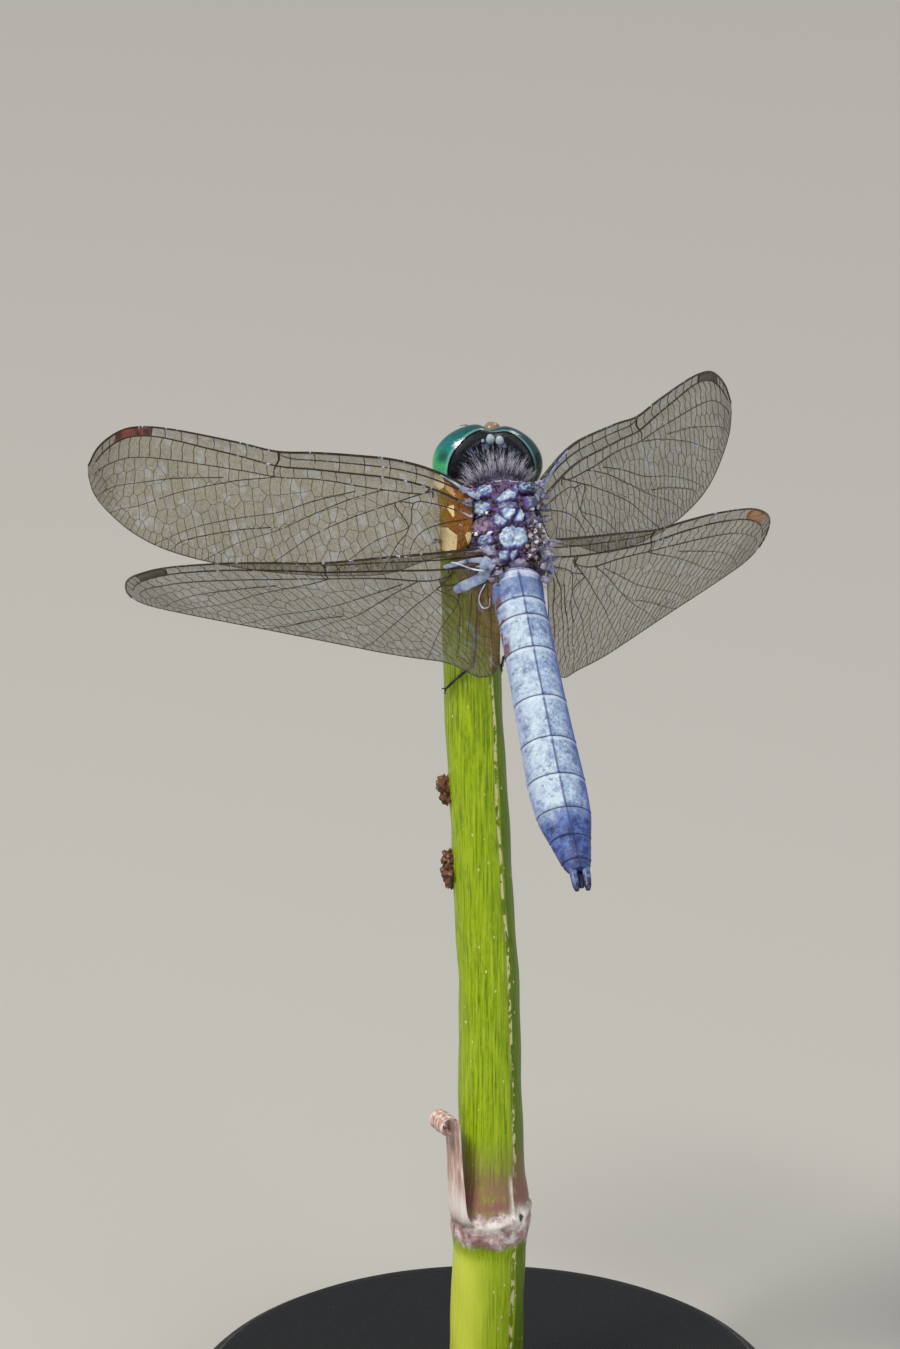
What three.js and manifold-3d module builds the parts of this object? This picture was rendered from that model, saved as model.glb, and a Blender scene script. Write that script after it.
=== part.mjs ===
// Blue dasher dragonfly, adult male, at rest on a cut plant stem held by a small round stand.
// Millimetres, +Z up, the animal faces +Y. The origin is the centre of the base's underside.

import * as THREE from 'three';
import { mergeVertices } from 'three/addons/utils/BufferGeometryUtils.js';
import Module from 'manifold-3d';

const wasm = await Module();
wasm.setup();

// ---- driving dimensions ----

const joinGap = 0.06;          // clear space between two pieces of the shell

const baseRadius = 18;
const baseHeight = 4;
const baseBevel = 0.6;
const rodRadius = 1.1;
const rodLength = 2.5;

// the stem: how far each level lies below the thorax centre, with its sideways bow and radius
const thoraxAboveCut = 57;
const stemAhead = 7.4;
const stemTopLevel = -0.4;
const nodeLowLevel = -49.9;
const nodeHighLevel = -45.1;
const stemLevels = [
  { level: -57, aside: 0.06, radius: 2.28 },
  { level: -49.9, aside: 0.3, radius: 2.25 },
  { level: -47.9, aside: 0.36, radius: 2.5 },
  { level: -45.1, aside: 0.34, radius: 2.08 },
  { level: -32.0, aside: 0.16, radius: 1.88 },
  { level: -18.4, aside: -0.52, radius: 1.8 },
  { level: -9.0, aside: -0.93, radius: 1.76 },
  { level: -0.4, aside: -1.05, radius: 1.74 },
];

// the leaf scale at the stem's node: its foot's level, place, curl and lean toward the tip, and size
const sheathPlan = {
  foot: -46.6, aside: -2.34, ahead: -0.75, curl: 1.1, lean: 0.25, height: 6.5, width: 0.95,
  halfThickness: 0.3,
};

const bodyPitch = THREE.MathUtils.degToRad(33);
const thoraxCentre = new THREE.Vector3(0.07, -stemAhead, baseHeight + rodLength + thoraxAboveCut);
const bodyAside = -0.15;

// body sections: place along the body, half width, top, bottom, and sideways place of the centre
const thoraxSections = [
  { y: 3.25, half: 1.35, top: 0.35, bottom: -1.95, aside: bodyAside },
  { y: 2.75, half: 1.85, top: 1.25, bottom: -2.75, aside: bodyAside },
  { y: 1.9, half: 2.2, top: 1.95, bottom: -3.3, aside: bodyAside },
  { y: 0.7, half: 2.45, top: 2.2, bottom: -3.7, aside: bodyAside },
  { y: -0.7, half: 2.5, top: 2.15, bottom: -3.75, aside: bodyAside },
  { y: -1.9, half: 2.2, top: 1.85, bottom: -3.4, aside: bodyAside },
  { y: -2.8, half: 1.7, top: 1.4, bottom: -2.6, aside: bodyAside * 0.7 },
  { y: -3.3, half: 1.25, top: 1.05, bottom: -1.9, aside: bodyAside * 0.5 },
];
const prothoraxSections = [
  { y: 4.28, half: 0.5, top: -0.35, bottom: -0.85, aside: -0.24 },
  { y: 4.08, half: 1.0, top: 0.05, bottom: -1.1, aside: -0.22 },
  { y: 3.72, half: 1.45, top: 0.45, bottom: -1.55, aside: -0.2 },
  { y: 3.32, half: 1.35, top: 0.35, bottom: -1.85, aside: -0.17 },
];

// the abdomen: each joint's place along the body, half width, height over and under the axis
const abdomenJoints = [
  { y: -3.36, half: 1.2, over: 1.2, under: 1.25, aside: -0.08, axis: -0.22 },
  { y: -4.05, half: 1.3, over: 1.26, under: 1.4, aside: -0.07, axis: -0.24 },
  { y: -6.15, half: 1.38, over: 1.22, under: 1.3, aside: -0.06, axis: -0.28 },
  { y: -8.55, half: 1.42, over: 1.2, under: 1.1, aside: -0.05, axis: -0.32 },
  { y: -11.8, half: 1.53, over: 1.24, under: 1.1, aside: -0.03, axis: -0.36 },
  { y: -14.7, half: 1.65, over: 1.28, under: 1.12, aside: 0.0, axis: -0.36 },
  { y: -17.3, half: 1.72, over: 1.28, under: 1.1, aside: 0.03, axis: -0.32 },
  { y: -19.6, half: 1.62, over: 1.16, under: 1.0, aside: 0.1, axis: -0.26 },
  { y: -21.4, half: 1.22, over: 0.92, under: 0.82, aside: 0.2, axis: -0.18 },
  { y: -22.95, half: 0.86, over: 0.7, under: 0.64, aside: 0.3, axis: -0.1 },
  { y: -23.5, half: 0.68, over: 0.54, under: 0.5, aside: 0.35, axis: -0.06 },
];
const cercusLength = 1.5;
const cercusRadius = 0.26;

// the head, in its own frame: x right, y forward, z up
const headPlace = new THREE.Vector3(-0.42, 5.64, -1.0);
const headPitch = THREE.MathUtils.degToRad(-36);
const headRoll = THREE.MathUtils.degToRad(4);
const headHalf = { x: 3.22, y: 1.8, z: 2.4 };
const headRear = -0.84;
const coreShare = { x: 0.7, y: 0.72, z: 0.74 };
const coreGap = { x: 1.035, y: 1.04, z: 1.035 };
const backPlateShare = 0.87;
const backPlateDepth = 0.16;
const cheekShare = 0.82;
const neckRadius = 1.2;
const faceRoomStart = 0.3;
const eyeFloor = -1.35;
const faceHalfWidth = 1.28;
const faceRear = 0.7;
const faceRoomTop = 0.5;
const feelerRoot = { x: 0.62, y: 2.2, z: 1.32 };
const feelerSpread = 0.58;
const antennaLength = 1.25;
const feelerRadius = 0.25;

// the wings: outlines as [along the span, toward the trailing edge]
const wingThickness = 0.5;
const foreLead = [
  [0, 0], [3.2, -0.6], [6, -0.75], [9, -0.55], [12.5, -0.2], [15.6, 0.19], [19, 0.12], [24, 0.14],
  [26.8, 0.38], [28.6, 0.95], [30.2, 2.1], [31, 3.4],
];
const foreTrail = [
  [0, 1.2], [1.2, 3.1], [3.6, 4.9], [6.8, 6.2], [11.2, 7], [16, 7.5], [20.2, 7.65], [24.2, 7.45],
  [27, 6.85], [29.2, 5.85], [30.4, 4.95], [30.95, 3.9],
];
const hindLead = [
  [0, 0], [3, 0.15], [7.5, 0.3], [12.6, 0.5], [16, 0.25], [20, 0.05], [24, 0.15], [26.5, 0.7],
  [28.2, 1.55], [29.4, 2.9], [29.8, 4],
];
const hindTrail = [
  [0.1, 1.6], [0.5, 4.2], [1.2, 6.8], [2.6, 8.3], [4.8, 8.9], [8, 9], [12, 8.8], [16, 8.25],
  [20.5, 7.45], [25, 6.5], [28, 5.6], [29.3, 4.95], [29.75, 4.3],
];

// each wing: its root, the way its span runs, the way its chord runs at the root and past the
// turning length, and the twist in degrees from root to tip
const turnLength = 9;
const wingPoses = {
  fore_wing_left: { root: [-2.12, 2.1, 1.95], span: [-0.6, 0.595, -0.535],
    chordRoot: [-0.03, -0.69, -0.72], chordOut: [-0.03, -0.69, -0.72], twist: -5 },
  fore_wing_right: { root: [1.92, 2.2, 1.95], span: [0.53, 0.64, -0.553],
    chordRoot: [0.12, -0.73, -0.67], chordOut: [0.2, -0.74, -0.64], twist: 11 },
  hind_wing_left: { root: [-2.12, -2.0, 1.8], span: [-0.665, 0.42, -0.618],
    chordRoot: [0.1, -0.6, -0.79], chordOut: [0.41, -0.47, -0.78], twist: 27 },
  hind_wing_right: { root: [2.12, -1.88, 1.92], span: [0.635, 0.46, -0.62],
    chordRoot: [-0.1, -0.7, -0.71], chordOut: [-0.2, -0.67, -0.71], twist: 28 },
};

// each leg: where it leaves the body (body frame), then knee, ankle and foot (level of the thorax centre)
const legPlans = {
  leg_fore_left: { hip: [-0.72, 3.55, -2.35], knee: [-2.9, 5.0, -2.2], ankle: [-3.1, 7.3, -3.3],
    foot: [-2.85, 8.9, -4.2] },
  leg_fore_right: { hip: [0.42, 3.55, -2.35], knee: [1.3, 5.0, -2.3], ankle: [1.25, 7.4, -3.2],
    foot: [0.7, 9.0, -4.1] },
  leg_mid_left: { hip: [-1.2, 2.3, -3.3], knee: [-2.5, 2.7, -4.3], ankle: [-2.75, 5.95, -5.7],
    foot: [-4.15, 6.75, -5.9] },
  leg_mid_right: { hip: [0.85, 2.3, -3.3], knee: [2.2, 3.6, -4.9], ankle: [1.2, 6.9, -6.9],
    foot: [1.1, 8.2, -8.6] },
  leg_hind_left: { hip: [-1.0, 0.7, -4.0], knee: [-1.7, 1.5, -6.9], ankle: [-1.25, 5.25, -10.7],
    foot: [-3.35, 6.1, -12.6] },
  leg_hind_right: { hip: [0.7, 0.7, -4.0], knee: [1.7, 2.2, -7.0], ankle: [0.75, 5.9, -10.6],
    foot: [1.5, 7.6, -12.4] },
};
const femurRadius = 0.34;
const tibiaRadius = 0.27;
const tarsusRadius = 0.25;

// ---- materials ----

function paint(color, roughness, metalness = 0) {
  return new THREE.MeshStandardMaterial({ color, roughness, metalness });
}

const powderBlue = () => paint(0xa9bfe0, 0.75);
const slateBlue = () => paint(0x4a5c8f, 0.7);
const thoraxShell = () => paint(0x8d8fc4, 0.65);
const blackShell = () => paint(0x121216, 0.35);
const eyeGlass = () => paint(0x2fae8c, 0.15);
const paleFace = () => paint(0xe6e4d2, 0.5);
const wingClear = () => paint(0xb9ad8a, 0.25);
const stemGreen = () => paint(0x86a81c, 0.55);
const stemNode = () => paint(0xc9a596, 0.6);
const sheathDry = () => paint(0xb98f6c, 0.75);
const standDark = () => paint(0x1c1c1e, 0.5);
const standSteel = () => paint(0xb8bcc2, 0.3, 1);

// ---- shape helpers ----

// A closed body through rings of points, each ring in the same order, with both ends capped.
function loft(rings) {
  const sides = rings[0].length;
  const points = rings.flat();
  const faces = [];
  for (let i = 0; i < rings.length - 1; i++) {
    for (let j = 0; j < sides; j++) {
      const a = i * sides + j;
      const b = i * sides + ((j + 1) % sides);
      faces.push(a, b, b + sides, a, b + sides, a + sides);
    }
  }
  const cap = (ring, flip) => {
    const centre = ring.reduce((sum, p) => sum.add(p), new THREE.Vector3()).divideScalar(sides);
    const first = points.indexOf(ring[0]);
    const middle = points.push(centre) - 1;
    for (let j = 0; j < sides; j++) {
      const next = first + ((j + 1) % sides);
      faces.push(middle, flip ? next : first + j, flip ? first + j : next);
    }
  };
  cap(rings[0], true);
  cap(rings[rings.length - 1], false);
  return outward(points, faces);
}

// Builds the geometry, and turns it inside out if its volume comes out negative.
function outward(points, faces) {
  let volume = 0;
  for (let i = 0; i < faces.length; i += 3) {
    const [a, b, c] = [points[faces[i]], points[faces[i + 1]], points[faces[i + 2]]];
    volume += a.dot(new THREE.Vector3().crossVectors(b, c));
  }
  const geometry = new THREE.BufferGeometry();
  const flat = points.flatMap((p) => [p.x, p.y, p.z]);
  geometry.setAttribute('position', new THREE.Float32BufferAttribute(flat, 3));
  geometry.setIndex(volume < 0 ? faces.slice().reverse() : faces);
  return geometry;
}

function mesh(name, geometry, material) {
  const part = new THREE.Mesh(geometry, material);
  part.name = name;
  return part;
}

function ellipsoid(half, across, down) {
  return new THREE.SphereGeometry(1, across, down).scale(half.x, half.y, half.z);
}

function block(minimum, maximum) {
  const size = new THREE.Vector3().subVectors(maximum, minimum);
  const centre = new THREE.Vector3().addVectors(maximum, minimum).multiplyScalar(0.5);
  return new THREE.BoxGeometry(size.x, size.y, size.z).translate(centre.x, centre.y, centre.z);
}

// A round bar between two points, cut square at both ends.
function bar(start, end, startRadius, endRadius, sides) {
  const length = start.distanceTo(end);
  const geometry = new THREE.CylinderGeometry(endRadius, startRadius, length, sides, 1);
  const along = new THREE.Vector3().subVectors(end, start).normalize();
  geometry.applyQuaternion(new THREE.Quaternion().setFromUnitVectors(new THREE.Vector3(0, 1, 0), along));
  const middle = new THREE.Vector3().addVectors(start, end).multiplyScalar(0.5);
  return geometry.translate(middle.x, middle.y, middle.z);
}

function toManifold(geometry) {
  const bare = geometry.clone();
  bare.deleteAttribute('normal');
  bare.deleteAttribute('uv');
  const merged = mergeVertices(bare, 1e-4);
  return new wasm.Manifold(new wasm.Mesh({
    numProp: 3,
    vertProperties: merged.attributes.position.array,
    triVerts: new Uint32Array(merged.index.array),
  }));
}

function fromManifold(solid) {
  const result = solid.getMesh();
  const geometry = new THREE.BufferGeometry();
  geometry.setAttribute('position', new THREE.Float32BufferAttribute(result.vertProperties, 3));
  geometry.setIndex(Array.from(result.triVerts));
  return geometry;
}

// ---- body shell ----

// One cross-section: egg-shaped, narrowing toward the back, with the ridge along the top.
function section({ y, half, top, bottom, aside }, sides, narrowing) {
  const ring = [];
  const waist = top * 0.35 + bottom * 0.65;
  for (let i = 0; i < sides; i++) {
    const angle = (2 * Math.PI * i) / sides;
    const rise = Math.sin(angle);
    const height = rise > 0 ? waist + (top - waist) * rise : waist + (waist - bottom) * rise;
    const width = half * Math.cos(angle) * (1 - narrowing * Math.max(0, rise));
    ring.push(new THREE.Vector3(aside + width, y, height));
  }
  return ring;
}

function makeThorax() {
  const shell = loft(thoraxSections.map((s) => section(s, 24, 0.12)));
  return mesh('thorax', shell, thoraxShell());
}

function makeProthorax() {
  const shell = loft(prothoraxSections.map((s) => section(s, 20, 0)));
  return mesh('prothorax', shell, thoraxShell());
}

// A ring of the abdomen: three-cornered, with a low keel along the back.
function abdomenRing(joint, y, swell) {
  const sides = 20;
  const ring = [];
  for (let i = 0; i < sides; i++) {
    const angle = (2 * Math.PI * i) / sides;
    const rise = Math.sin(angle);
    const keel = rise > 0 ? 1 + 0.06 * rise ** 12 : 1;
    const height = joint.axis + rise * keel * swell * (rise > 0 ? joint.over : joint.under);
    const width = joint.half * swell * Math.cos(angle) * (1 - 0.1 * Math.max(0, rise));
    ring.push(new THREE.Vector3(joint.aside + width, y, height));
  }
  return ring;
}

function between(a, b, t) {
  const mixed = {};
  for (const key of Object.keys(a)) mixed[key] = a[key] + (b[key] - a[key]) * t;
  return mixed;
}

function makeAbdomen() {
  const segments = [];
  for (let i = 0; i < abdomenJoints.length - 1; i++) {
    const front = abdomenJoints[i];
    const rear = abdomenJoints[i + 1];
    const length = front.y - rear.y;
    const rings = [0, 0.12, 0.88, 1].map((t) => {
      const joint = between(front, rear, t);
      const y = front.y - t * (length - joinGap);
      return abdomenRing(joint, y, t === 0 || t === 1 ? 0.97 : 1);
    });
    const material = i >= 7 ? slateBlue() : powderBlue();
    segments.push(mesh(`abdomen_s${i + 1}`, loft(rings), material));
  }
  return segments;
}

// The clasping tips at the end of the abdomen: a pair of cerci over a short middle plate.
function makeAppendages() {
  const last = abdomenJoints[abdomenJoints.length - 1];
  const tip = (side, up, length, radius) => {
    const start = new THREE.Vector3(last.aside + side, last.y - joinGap, last.axis + up);
    const rings = [];
    for (const [t, r] of [[0, 0.75], [0.25, 1], [0.7, 1], [1, 0.45]]) {
      const ring = [];
      for (let i = 0; i < 10; i++) {
        const angle = (2 * Math.PI * i) / 10;
        const bow = Math.sin(t * Math.PI) * 0.06 * Math.sign(side);
        ring.push(new THREE.Vector3(
          start.x + bow + side * 0.1 * t + radius * r * Math.cos(angle),
          start.y - t * length,
          start.z - 0.1 * t + radius * r * Math.sin(angle)));
      }
      rings.push(ring);
    }
    return loft(rings);
  };
  const apart = cercusRadius + joinGap;
  return [
    mesh('cercus_left', tip(-apart, 0.16, cercusLength, cercusRadius), blackShell()),
    mesh('cercus_right', tip(apart, 0.16, cercusLength, cercusRadius), blackShell()),
    mesh('epiproct', tip(0, -0.42, cercusLength * 0.62, cercusRadius), blackShell()),
  ];
}

// ---- head ----

function makeHead() {
  const head = new THREE.Group();
  head.position.copy(headPlace);
  head.rotation.set(headPitch, headRoll, 0);

  const big = 10;
  const core = {
    x: headHalf.x * coreShare.x,
    y: headHalf.y * coreShare.y,
    z: headHalf.z * coreShare.z,
  };
  const outer = toManifold(ellipsoid(headHalf, 28, 18));
  const inside = toManifold(ellipsoid(core, 20, 12));
  const insideGrown = toManifold(ellipsoid(core, 20, 12).scale(coreGap.x, coreGap.y, coreGap.z));
  const behind = toManifold(block(
    new THREE.Vector3(-big, -big, -big), new THREE.Vector3(big, headRear, big)));
  const below = toManifold(block(new THREE.Vector3(-big, -big, -big), new THREE.Vector3(big, big, eyeFloor)));
  const faceRoom = toManifold(block(
    new THREE.Vector3(-faceHalfWidth, faceRoomStart, -big),
    new THREE.Vector3(faceHalfWidth, big, headHalf.z * faceRoomTop)));

  // the eyes wrap the top and both sides, and meet on the middle line
  const bothEyes = outer.subtract(behind).subtract(below).subtract(faceRoom).subtract(insideGrown);
  for (const [name, side] of [['eye_left', -1], ['eye_right', 1]]) {
    const near = side * joinGap * 0.5;
    const half = toManifold(block(
      new THREE.Vector3(Math.min(near, side * big), -big, -big),
      new THREE.Vector3(Math.max(near, side * big), big, big)));
    head.add(mesh(name, fromManifold(bothEyes.intersect(half)), eyeGlass()));
  }

  // the capsule: the core with the back plate and the cheeks under the eyes
  const backHalf = { x: headHalf.x * backPlateShare, y: backPlateDepth, z: headHalf.z * backPlateShare };
  const backPlate = ellipsoid(backHalf, 24, 14).translate(0, headRear - joinGap, 0);
  const inFront = toManifold(block(
    new THREE.Vector3(-big, headRear - joinGap, -big), new THREE.Vector3(big, big, big)));
  const back = toManifold(backPlate).subtract(inFront);
  const cheekRoom = toManifold(block(
    new THREE.Vector3(-big, headRear - joinGap, -big),
    new THREE.Vector3(big, faceRoomStart, eyeFloor - joinGap)));
  const cheekHalf = { x: headHalf.x * cheekShare, y: headHalf.y, z: headHalf.z };
  const cheeks = toManifold(ellipsoid(cheekHalf, 24, 16)).intersect(cheekRoom);
  const neckPlug = toManifold(bar(
    new THREE.Vector3(0, headRear - backPlateDepth * 0.75, 0), new THREE.Vector3(),
    neckRadius, neckRadius, 16));
  const neckRoom = insideGrown.add(behind);
  const capsule = inside.add(back).add(cheeks).add(neckPlug.intersect(neckRoom));
  const faceLimit = toManifold(block(
    new THREE.Vector3(-faceHalfWidth, faceRear - joinGap, -big),
    new THREE.Vector3(faceHalfWidth, big, big)));
  head.add(mesh('head_capsule', fromManifold(capsule.subtract(faceLimit)), blackShell()));

  head.add(makeFace());
  for (const [name, side] of [['antenna_left', -1], ['antenna_right', 1]]) {
    const root = new THREE.Vector3(side * feelerRoot.x, feelerRoot.y, feelerRoot.z);
    const reach = new THREE.Vector3(side * feelerSpread, antennaLength * 0.85, -antennaLength * 0.15);
    const tip = root.clone().add(reach);
    head.add(mesh(name, bar(root, tip, feelerRadius, feelerRadius, 8), blackShell()));
  }
  return head;
}

// The face between the eyes: vertex bump, frons, clypeus and the lips, as one stepped mask.
function makeFace() {
  const levels = [
    { z: 1.12, half: 0.62, reach: 1.75 },
    { z: 0.98, half: 0.98, reach: 2.18 },
    { z: 0.5, half: 1.18, reach: 2.35 },
    { z: -0.1, half: 1.2, reach: 2.2 },
    { z: -0.35, half: 1.14, reach: 1.98 },
    { z: -1.0, half: 1.1, reach: 1.95 },
    { z: -1.65, half: 1.0, reach: 1.62 },
    { z: -2.15, half: 0.78, reach: 1.12 },
  ];
  const sides = 20;
  const rings = levels.map(({ z, half, reach }) => {
    const ring = [];
    for (let i = 0; i < sides; i++) {
      const angle = (Math.PI * i) / (sides - 1);
      const y = faceRear + (reach - faceRear) * Math.sin(angle) ** 0.7;
      ring.push(new THREE.Vector3(half * Math.cos(angle), y, z));
    }
    return ring;
  });
  return mesh('face', loft(rings), paleFace());
}

// ---- wings ----

// A thin blade between a leading and a trailing edge, its chord turning from the root outward.
function makeWing(name, pose, lead, trail) {
  const stations = 26;
  const chords = 4;
  const toEdge = (list) => new THREE.SplineCurve(list.map(([s, c]) => new THREE.Vector2(s, c)));
  const leadEdge = toEdge(lead);
  const trailEdge = toEdge(trail);
  const root = new THREE.Vector3(...pose.root);
  const span = new THREE.Vector3(...pose.span).normalize();
  const chordRoot = new THREE.Vector3(...pose.chordRoot);
  const chordOut = new THREE.Vector3(...pose.chordOut);
  const spanLength = lead[lead.length - 1][0];
  const fullTwist = THREE.MathUtils.degToRad(pose.twist) * Math.sign(pose.span[0]);
  const upper = [];
  const lower = [];
  for (let i = 0; i <= stations; i++) {
    const a = leadEdge.getPoint(i / stations);
    const b = trailEdge.getPoint(i / stations);
    const upperRow = [];
    const lowerRow = [];
    for (let j = 0; j <= chords; j++) {
      const at = a.clone().lerp(b, j / chords);
      const turn = THREE.MathUtils.smoothstep(at.x, 0, turnLength);
      const chord = chordRoot.clone().lerp(chordOut, turn);
      chord.addScaledVector(span, -chord.dot(span)).normalize();
      chord.applyAxisAngle(span, (fullTwist * at.x) / spanLength);
      const normal = new THREE.Vector3().crossVectors(span, chord);
      const middle = root.clone().addScaledVector(span, at.x).addScaledVector(chord, at.y);
      upperRow.push(middle.clone().addScaledVector(normal, wingThickness / 2));
      lowerRow.push(middle.clone().addScaledVector(normal, -wingThickness / 2));
    }
    upper.push(upperRow);
    lower.push(lowerRow);
  }
  const rings = upper.map((row, i) => [...row, ...lower[i].slice().reverse()]);
  return mesh(name, loft(rings), wingClear());
}

// ---- legs ----

// Turns a point given about the thorax centre, on level ground, into the pitched body's frame.
function toBody([x, y, z]) {
  return new THREE.Vector3(x, y, z).applyAxisAngle(new THREE.Vector3(1, 0, 0), -bodyPitch);
}

function makeLegs() {
  const pieces = [];
  for (const [name, plan] of Object.entries(legPlans)) {
    const hip = new THREE.Vector3(...plan.hip);
    const joints = [hip, toBody(plan.knee), toBody(plan.ankle), toBody(plan.foot)];
    const lengths = [
      ['femur', femurRadius, femurRadius * 0.8, 0.05, 0.3],
      ['tibia', tibiaRadius, tibiaRadius * 0.93, 0.22, 0.22],
      ['tarsus', tarsusRadius, tarsusRadius, 0.2, 0],
    ];
    lengths.forEach(([piece, startRadius, endRadius, startTrim, endTrim], i) => {
      const along = new THREE.Vector3().subVectors(joints[i + 1], joints[i]).normalize();
      const start = joints[i].clone().addScaledVector(along, startTrim);
      const end = joints[i + 1].clone().addScaledVector(along, -endTrim);
      pieces.push(mesh(`${name}_${piece}`, bar(start, end, startRadius, endRadius, 8), blackShell()));
    });
  }
  return pieces;
}

// ---- perch and stand ----

function stemAt(level) {
  const upper = stemLevels.findIndex((s) => s.level >= level);
  if (upper <= 0) return stemLevels[0];
  const low = stemLevels[upper - 1];
  const high = stemLevels[upper];
  return between(low, high, (level - low.level) / (high.level - low.level));
}

function stemPiece(name, levels, material) {
  const sides = 24;
  const rings = levels.map((level) => {
    const { aside, radius } = stemAt(level);
    const ring = [];
    for (let i = 0; i < sides; i++) {
      const angle = (2 * Math.PI * i) / sides;
      ring.push(new THREE.Vector3(
        aside + radius * Math.cos(angle), radius * Math.sin(angle), thoraxCentre.z + level));
    }
    return ring;
  });
  return mesh(name, loft(rings), material);
}

// The dry leaf scale that stands up from the stem's node and curls away at its tip.
function makeSheath() {
  const { foot, aside, ahead, curl, lean, height, width, halfThickness } = sheathPlan;
  const rings = [];
  const steps = 8;
  for (let i = 0; i <= steps; i++) {
    const t = i / steps;
    const blunt = t < 0.9 ? 1 : 0.75;
    const half = width * (1 - 0.35 * t) * blunt;
    const level = thoraxCentre.z + foot + height * t;
    const centre = new THREE.Vector3(aside - curl * t ** 3 + lean * t, ahead, level);
    const ring = [];
    for (let j = 0; j < 10; j++) {
      const angle = (2 * Math.PI * j) / 10;
      const across = new THREE.Vector3(halfThickness * Math.cos(angle), half * Math.sin(angle), 0);
      ring.push(across.add(centre));
    }
    rings.push(ring);
  }
  return mesh('perch_sheath', loft(rings), sheathDry());
}

function makePerch() {
  const joints = stemLevels.map((s) => s.level);
  const lowerPart = joints.filter((l) => l <= nodeLowLevel);
  const ringPart = joints.filter((l) => l >= nodeLowLevel && l <= nodeHighLevel);
  const upperPart = [nodeHighLevel, -38, -32, -25, -18.4, -13.5, -9, -4.5, stemTopLevel];
  return [
    stemPiece('perch_lower', lowerPart, stemGreen()),
    stemPiece('perch_node', ringPart, stemNode()),
    stemPiece('perch_upper', upperPart, stemGreen()),
    makeSheath(),
  ];
}

function makeStand() {
  const profile = [
    [0, 0], [baseRadius, 0], [baseRadius, baseHeight - baseBevel], [baseRadius - baseBevel, baseHeight],
    [0, baseHeight],
  ].map(([r, z]) => new THREE.Vector2(r, z));
  const base = new THREE.LatheGeometry(profile, 56).rotateX(Math.PI / 2);
  const rod = new THREE.CylinderGeometry(rodRadius, rodRadius, rodLength, 20).rotateX(Math.PI / 2);
  rod.translate(0, 0, baseHeight + rodLength / 2);
  return [mesh('stand_base', base, standDark()), mesh('stand_rod', rod, standSteel())];
}

// ---- assembly ----

const body = new THREE.Group();
body.position.copy(thoraxCentre);
body.rotation.x = bodyPitch;
body.add(makeThorax(), makeProthorax(), ...makeAbdomen(), ...makeAppendages(), makeHead(), ...makeLegs());
for (const [name, pose] of Object.entries(wingPoses)) {
  const fore = name.startsWith('fore');
  body.add(makeWing(name, pose, fore ? foreLead : hindLead, fore ? foreTrail : hindTrail));
}

const dragonfly = new THREE.Group();
dragonfly.add(body, ...makePerch(), ...makeStand());

export default dragonfly;
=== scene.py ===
import math
import random

import bmesh
import bpy
import numpy as np
from mathutils import Matrix, Vector, geometry, noise


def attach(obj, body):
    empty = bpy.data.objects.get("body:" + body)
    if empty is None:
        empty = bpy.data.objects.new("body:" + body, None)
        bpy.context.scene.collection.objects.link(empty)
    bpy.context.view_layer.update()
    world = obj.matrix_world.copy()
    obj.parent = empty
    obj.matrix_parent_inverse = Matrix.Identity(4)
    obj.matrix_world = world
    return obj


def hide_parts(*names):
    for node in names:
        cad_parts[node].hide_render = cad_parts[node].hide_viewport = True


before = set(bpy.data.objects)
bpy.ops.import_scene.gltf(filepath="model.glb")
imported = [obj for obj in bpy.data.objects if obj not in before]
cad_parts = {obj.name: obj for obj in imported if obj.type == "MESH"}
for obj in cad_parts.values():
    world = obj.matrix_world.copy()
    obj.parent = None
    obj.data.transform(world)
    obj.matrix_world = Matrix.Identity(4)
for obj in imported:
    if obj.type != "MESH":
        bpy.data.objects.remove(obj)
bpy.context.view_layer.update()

mm = 0.001
mergeDistance = 0.00005         # points closer than this along a tube's seam become one
bodyPlan = {
    "centre": (0.07, -7.4, 63.5),   # the thorax centre in the row frame
    "pitch": 33.0,
    "headPlace": (-0.36, 5.64, -1.0),
    "headPitch": -36.0,
    "headRoll": 8.0,
}

rowPlace = Matrix.Scale(mm, 4)
bodyPlace = (
    rowPlace
    @ Matrix.Translation(bodyPlan["centre"])
    @ Matrix.Rotation(math.radians(bodyPlan["pitch"]), 4, "X")
)
headPlace = (
    bodyPlace
    @ Matrix.Translation(bodyPlan["headPlace"])
    @ Matrix.Rotation(math.radians(bodyPlan["headPitch"]), 4, "X")
    @ Matrix.Rotation(math.radians(bodyPlan["headRoll"]), 4, "Y")
)


# small tools

def clearSelection():
    if bpy.context.object and bpy.context.object.mode != "OBJECT":
        bpy.ops.object.mode_set(mode="OBJECT")
    bpy.ops.object.select_all(action="DESELECT")


def pickOnly(piece):
    clearSelection()
    piece.select_set(True)
    bpy.context.view_layer.objects.active = piece


def editAll(piece):
    # opens a piece for editing with all of it selected
    pickOnly(piece)
    bpy.ops.object.mode_set(mode="EDIT")
    bpy.ops.mesh.select_all(action="SELECT")


def smoothStep(value, low, high):
    t = np.clip((np.asarray(value, float) - low) / (high - low), 0, 1)
    return t * t * (3 - 2 * t)


def throughPoints(points, steps=10):
    # a smooth line through given points
    points = [np.array(p, float) for p in points]
    points = [2 * points[0] - points[1]] + points + [2 * points[-1] - points[-2]]
    line = []
    for a, b, c, d in zip(points, points[1:], points[2:], points[3:]):
        for k in range(steps):
            t = k / steps
            line.append(0.5 * (2 * b + (c - a) * t + (2 * a - 5 * b + 4 * c - d) * t * t
                               + (3 * b - a - 3 * c + d) * t ** 3))
    line.append(points[-2])
    return np.array(line)


def within(value, start, full, fading, end):
    # rises from start to full and falls again from fading to end
    return smoothStep(value, start, full) * (1 - smoothStep(value, fading, end))


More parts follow.
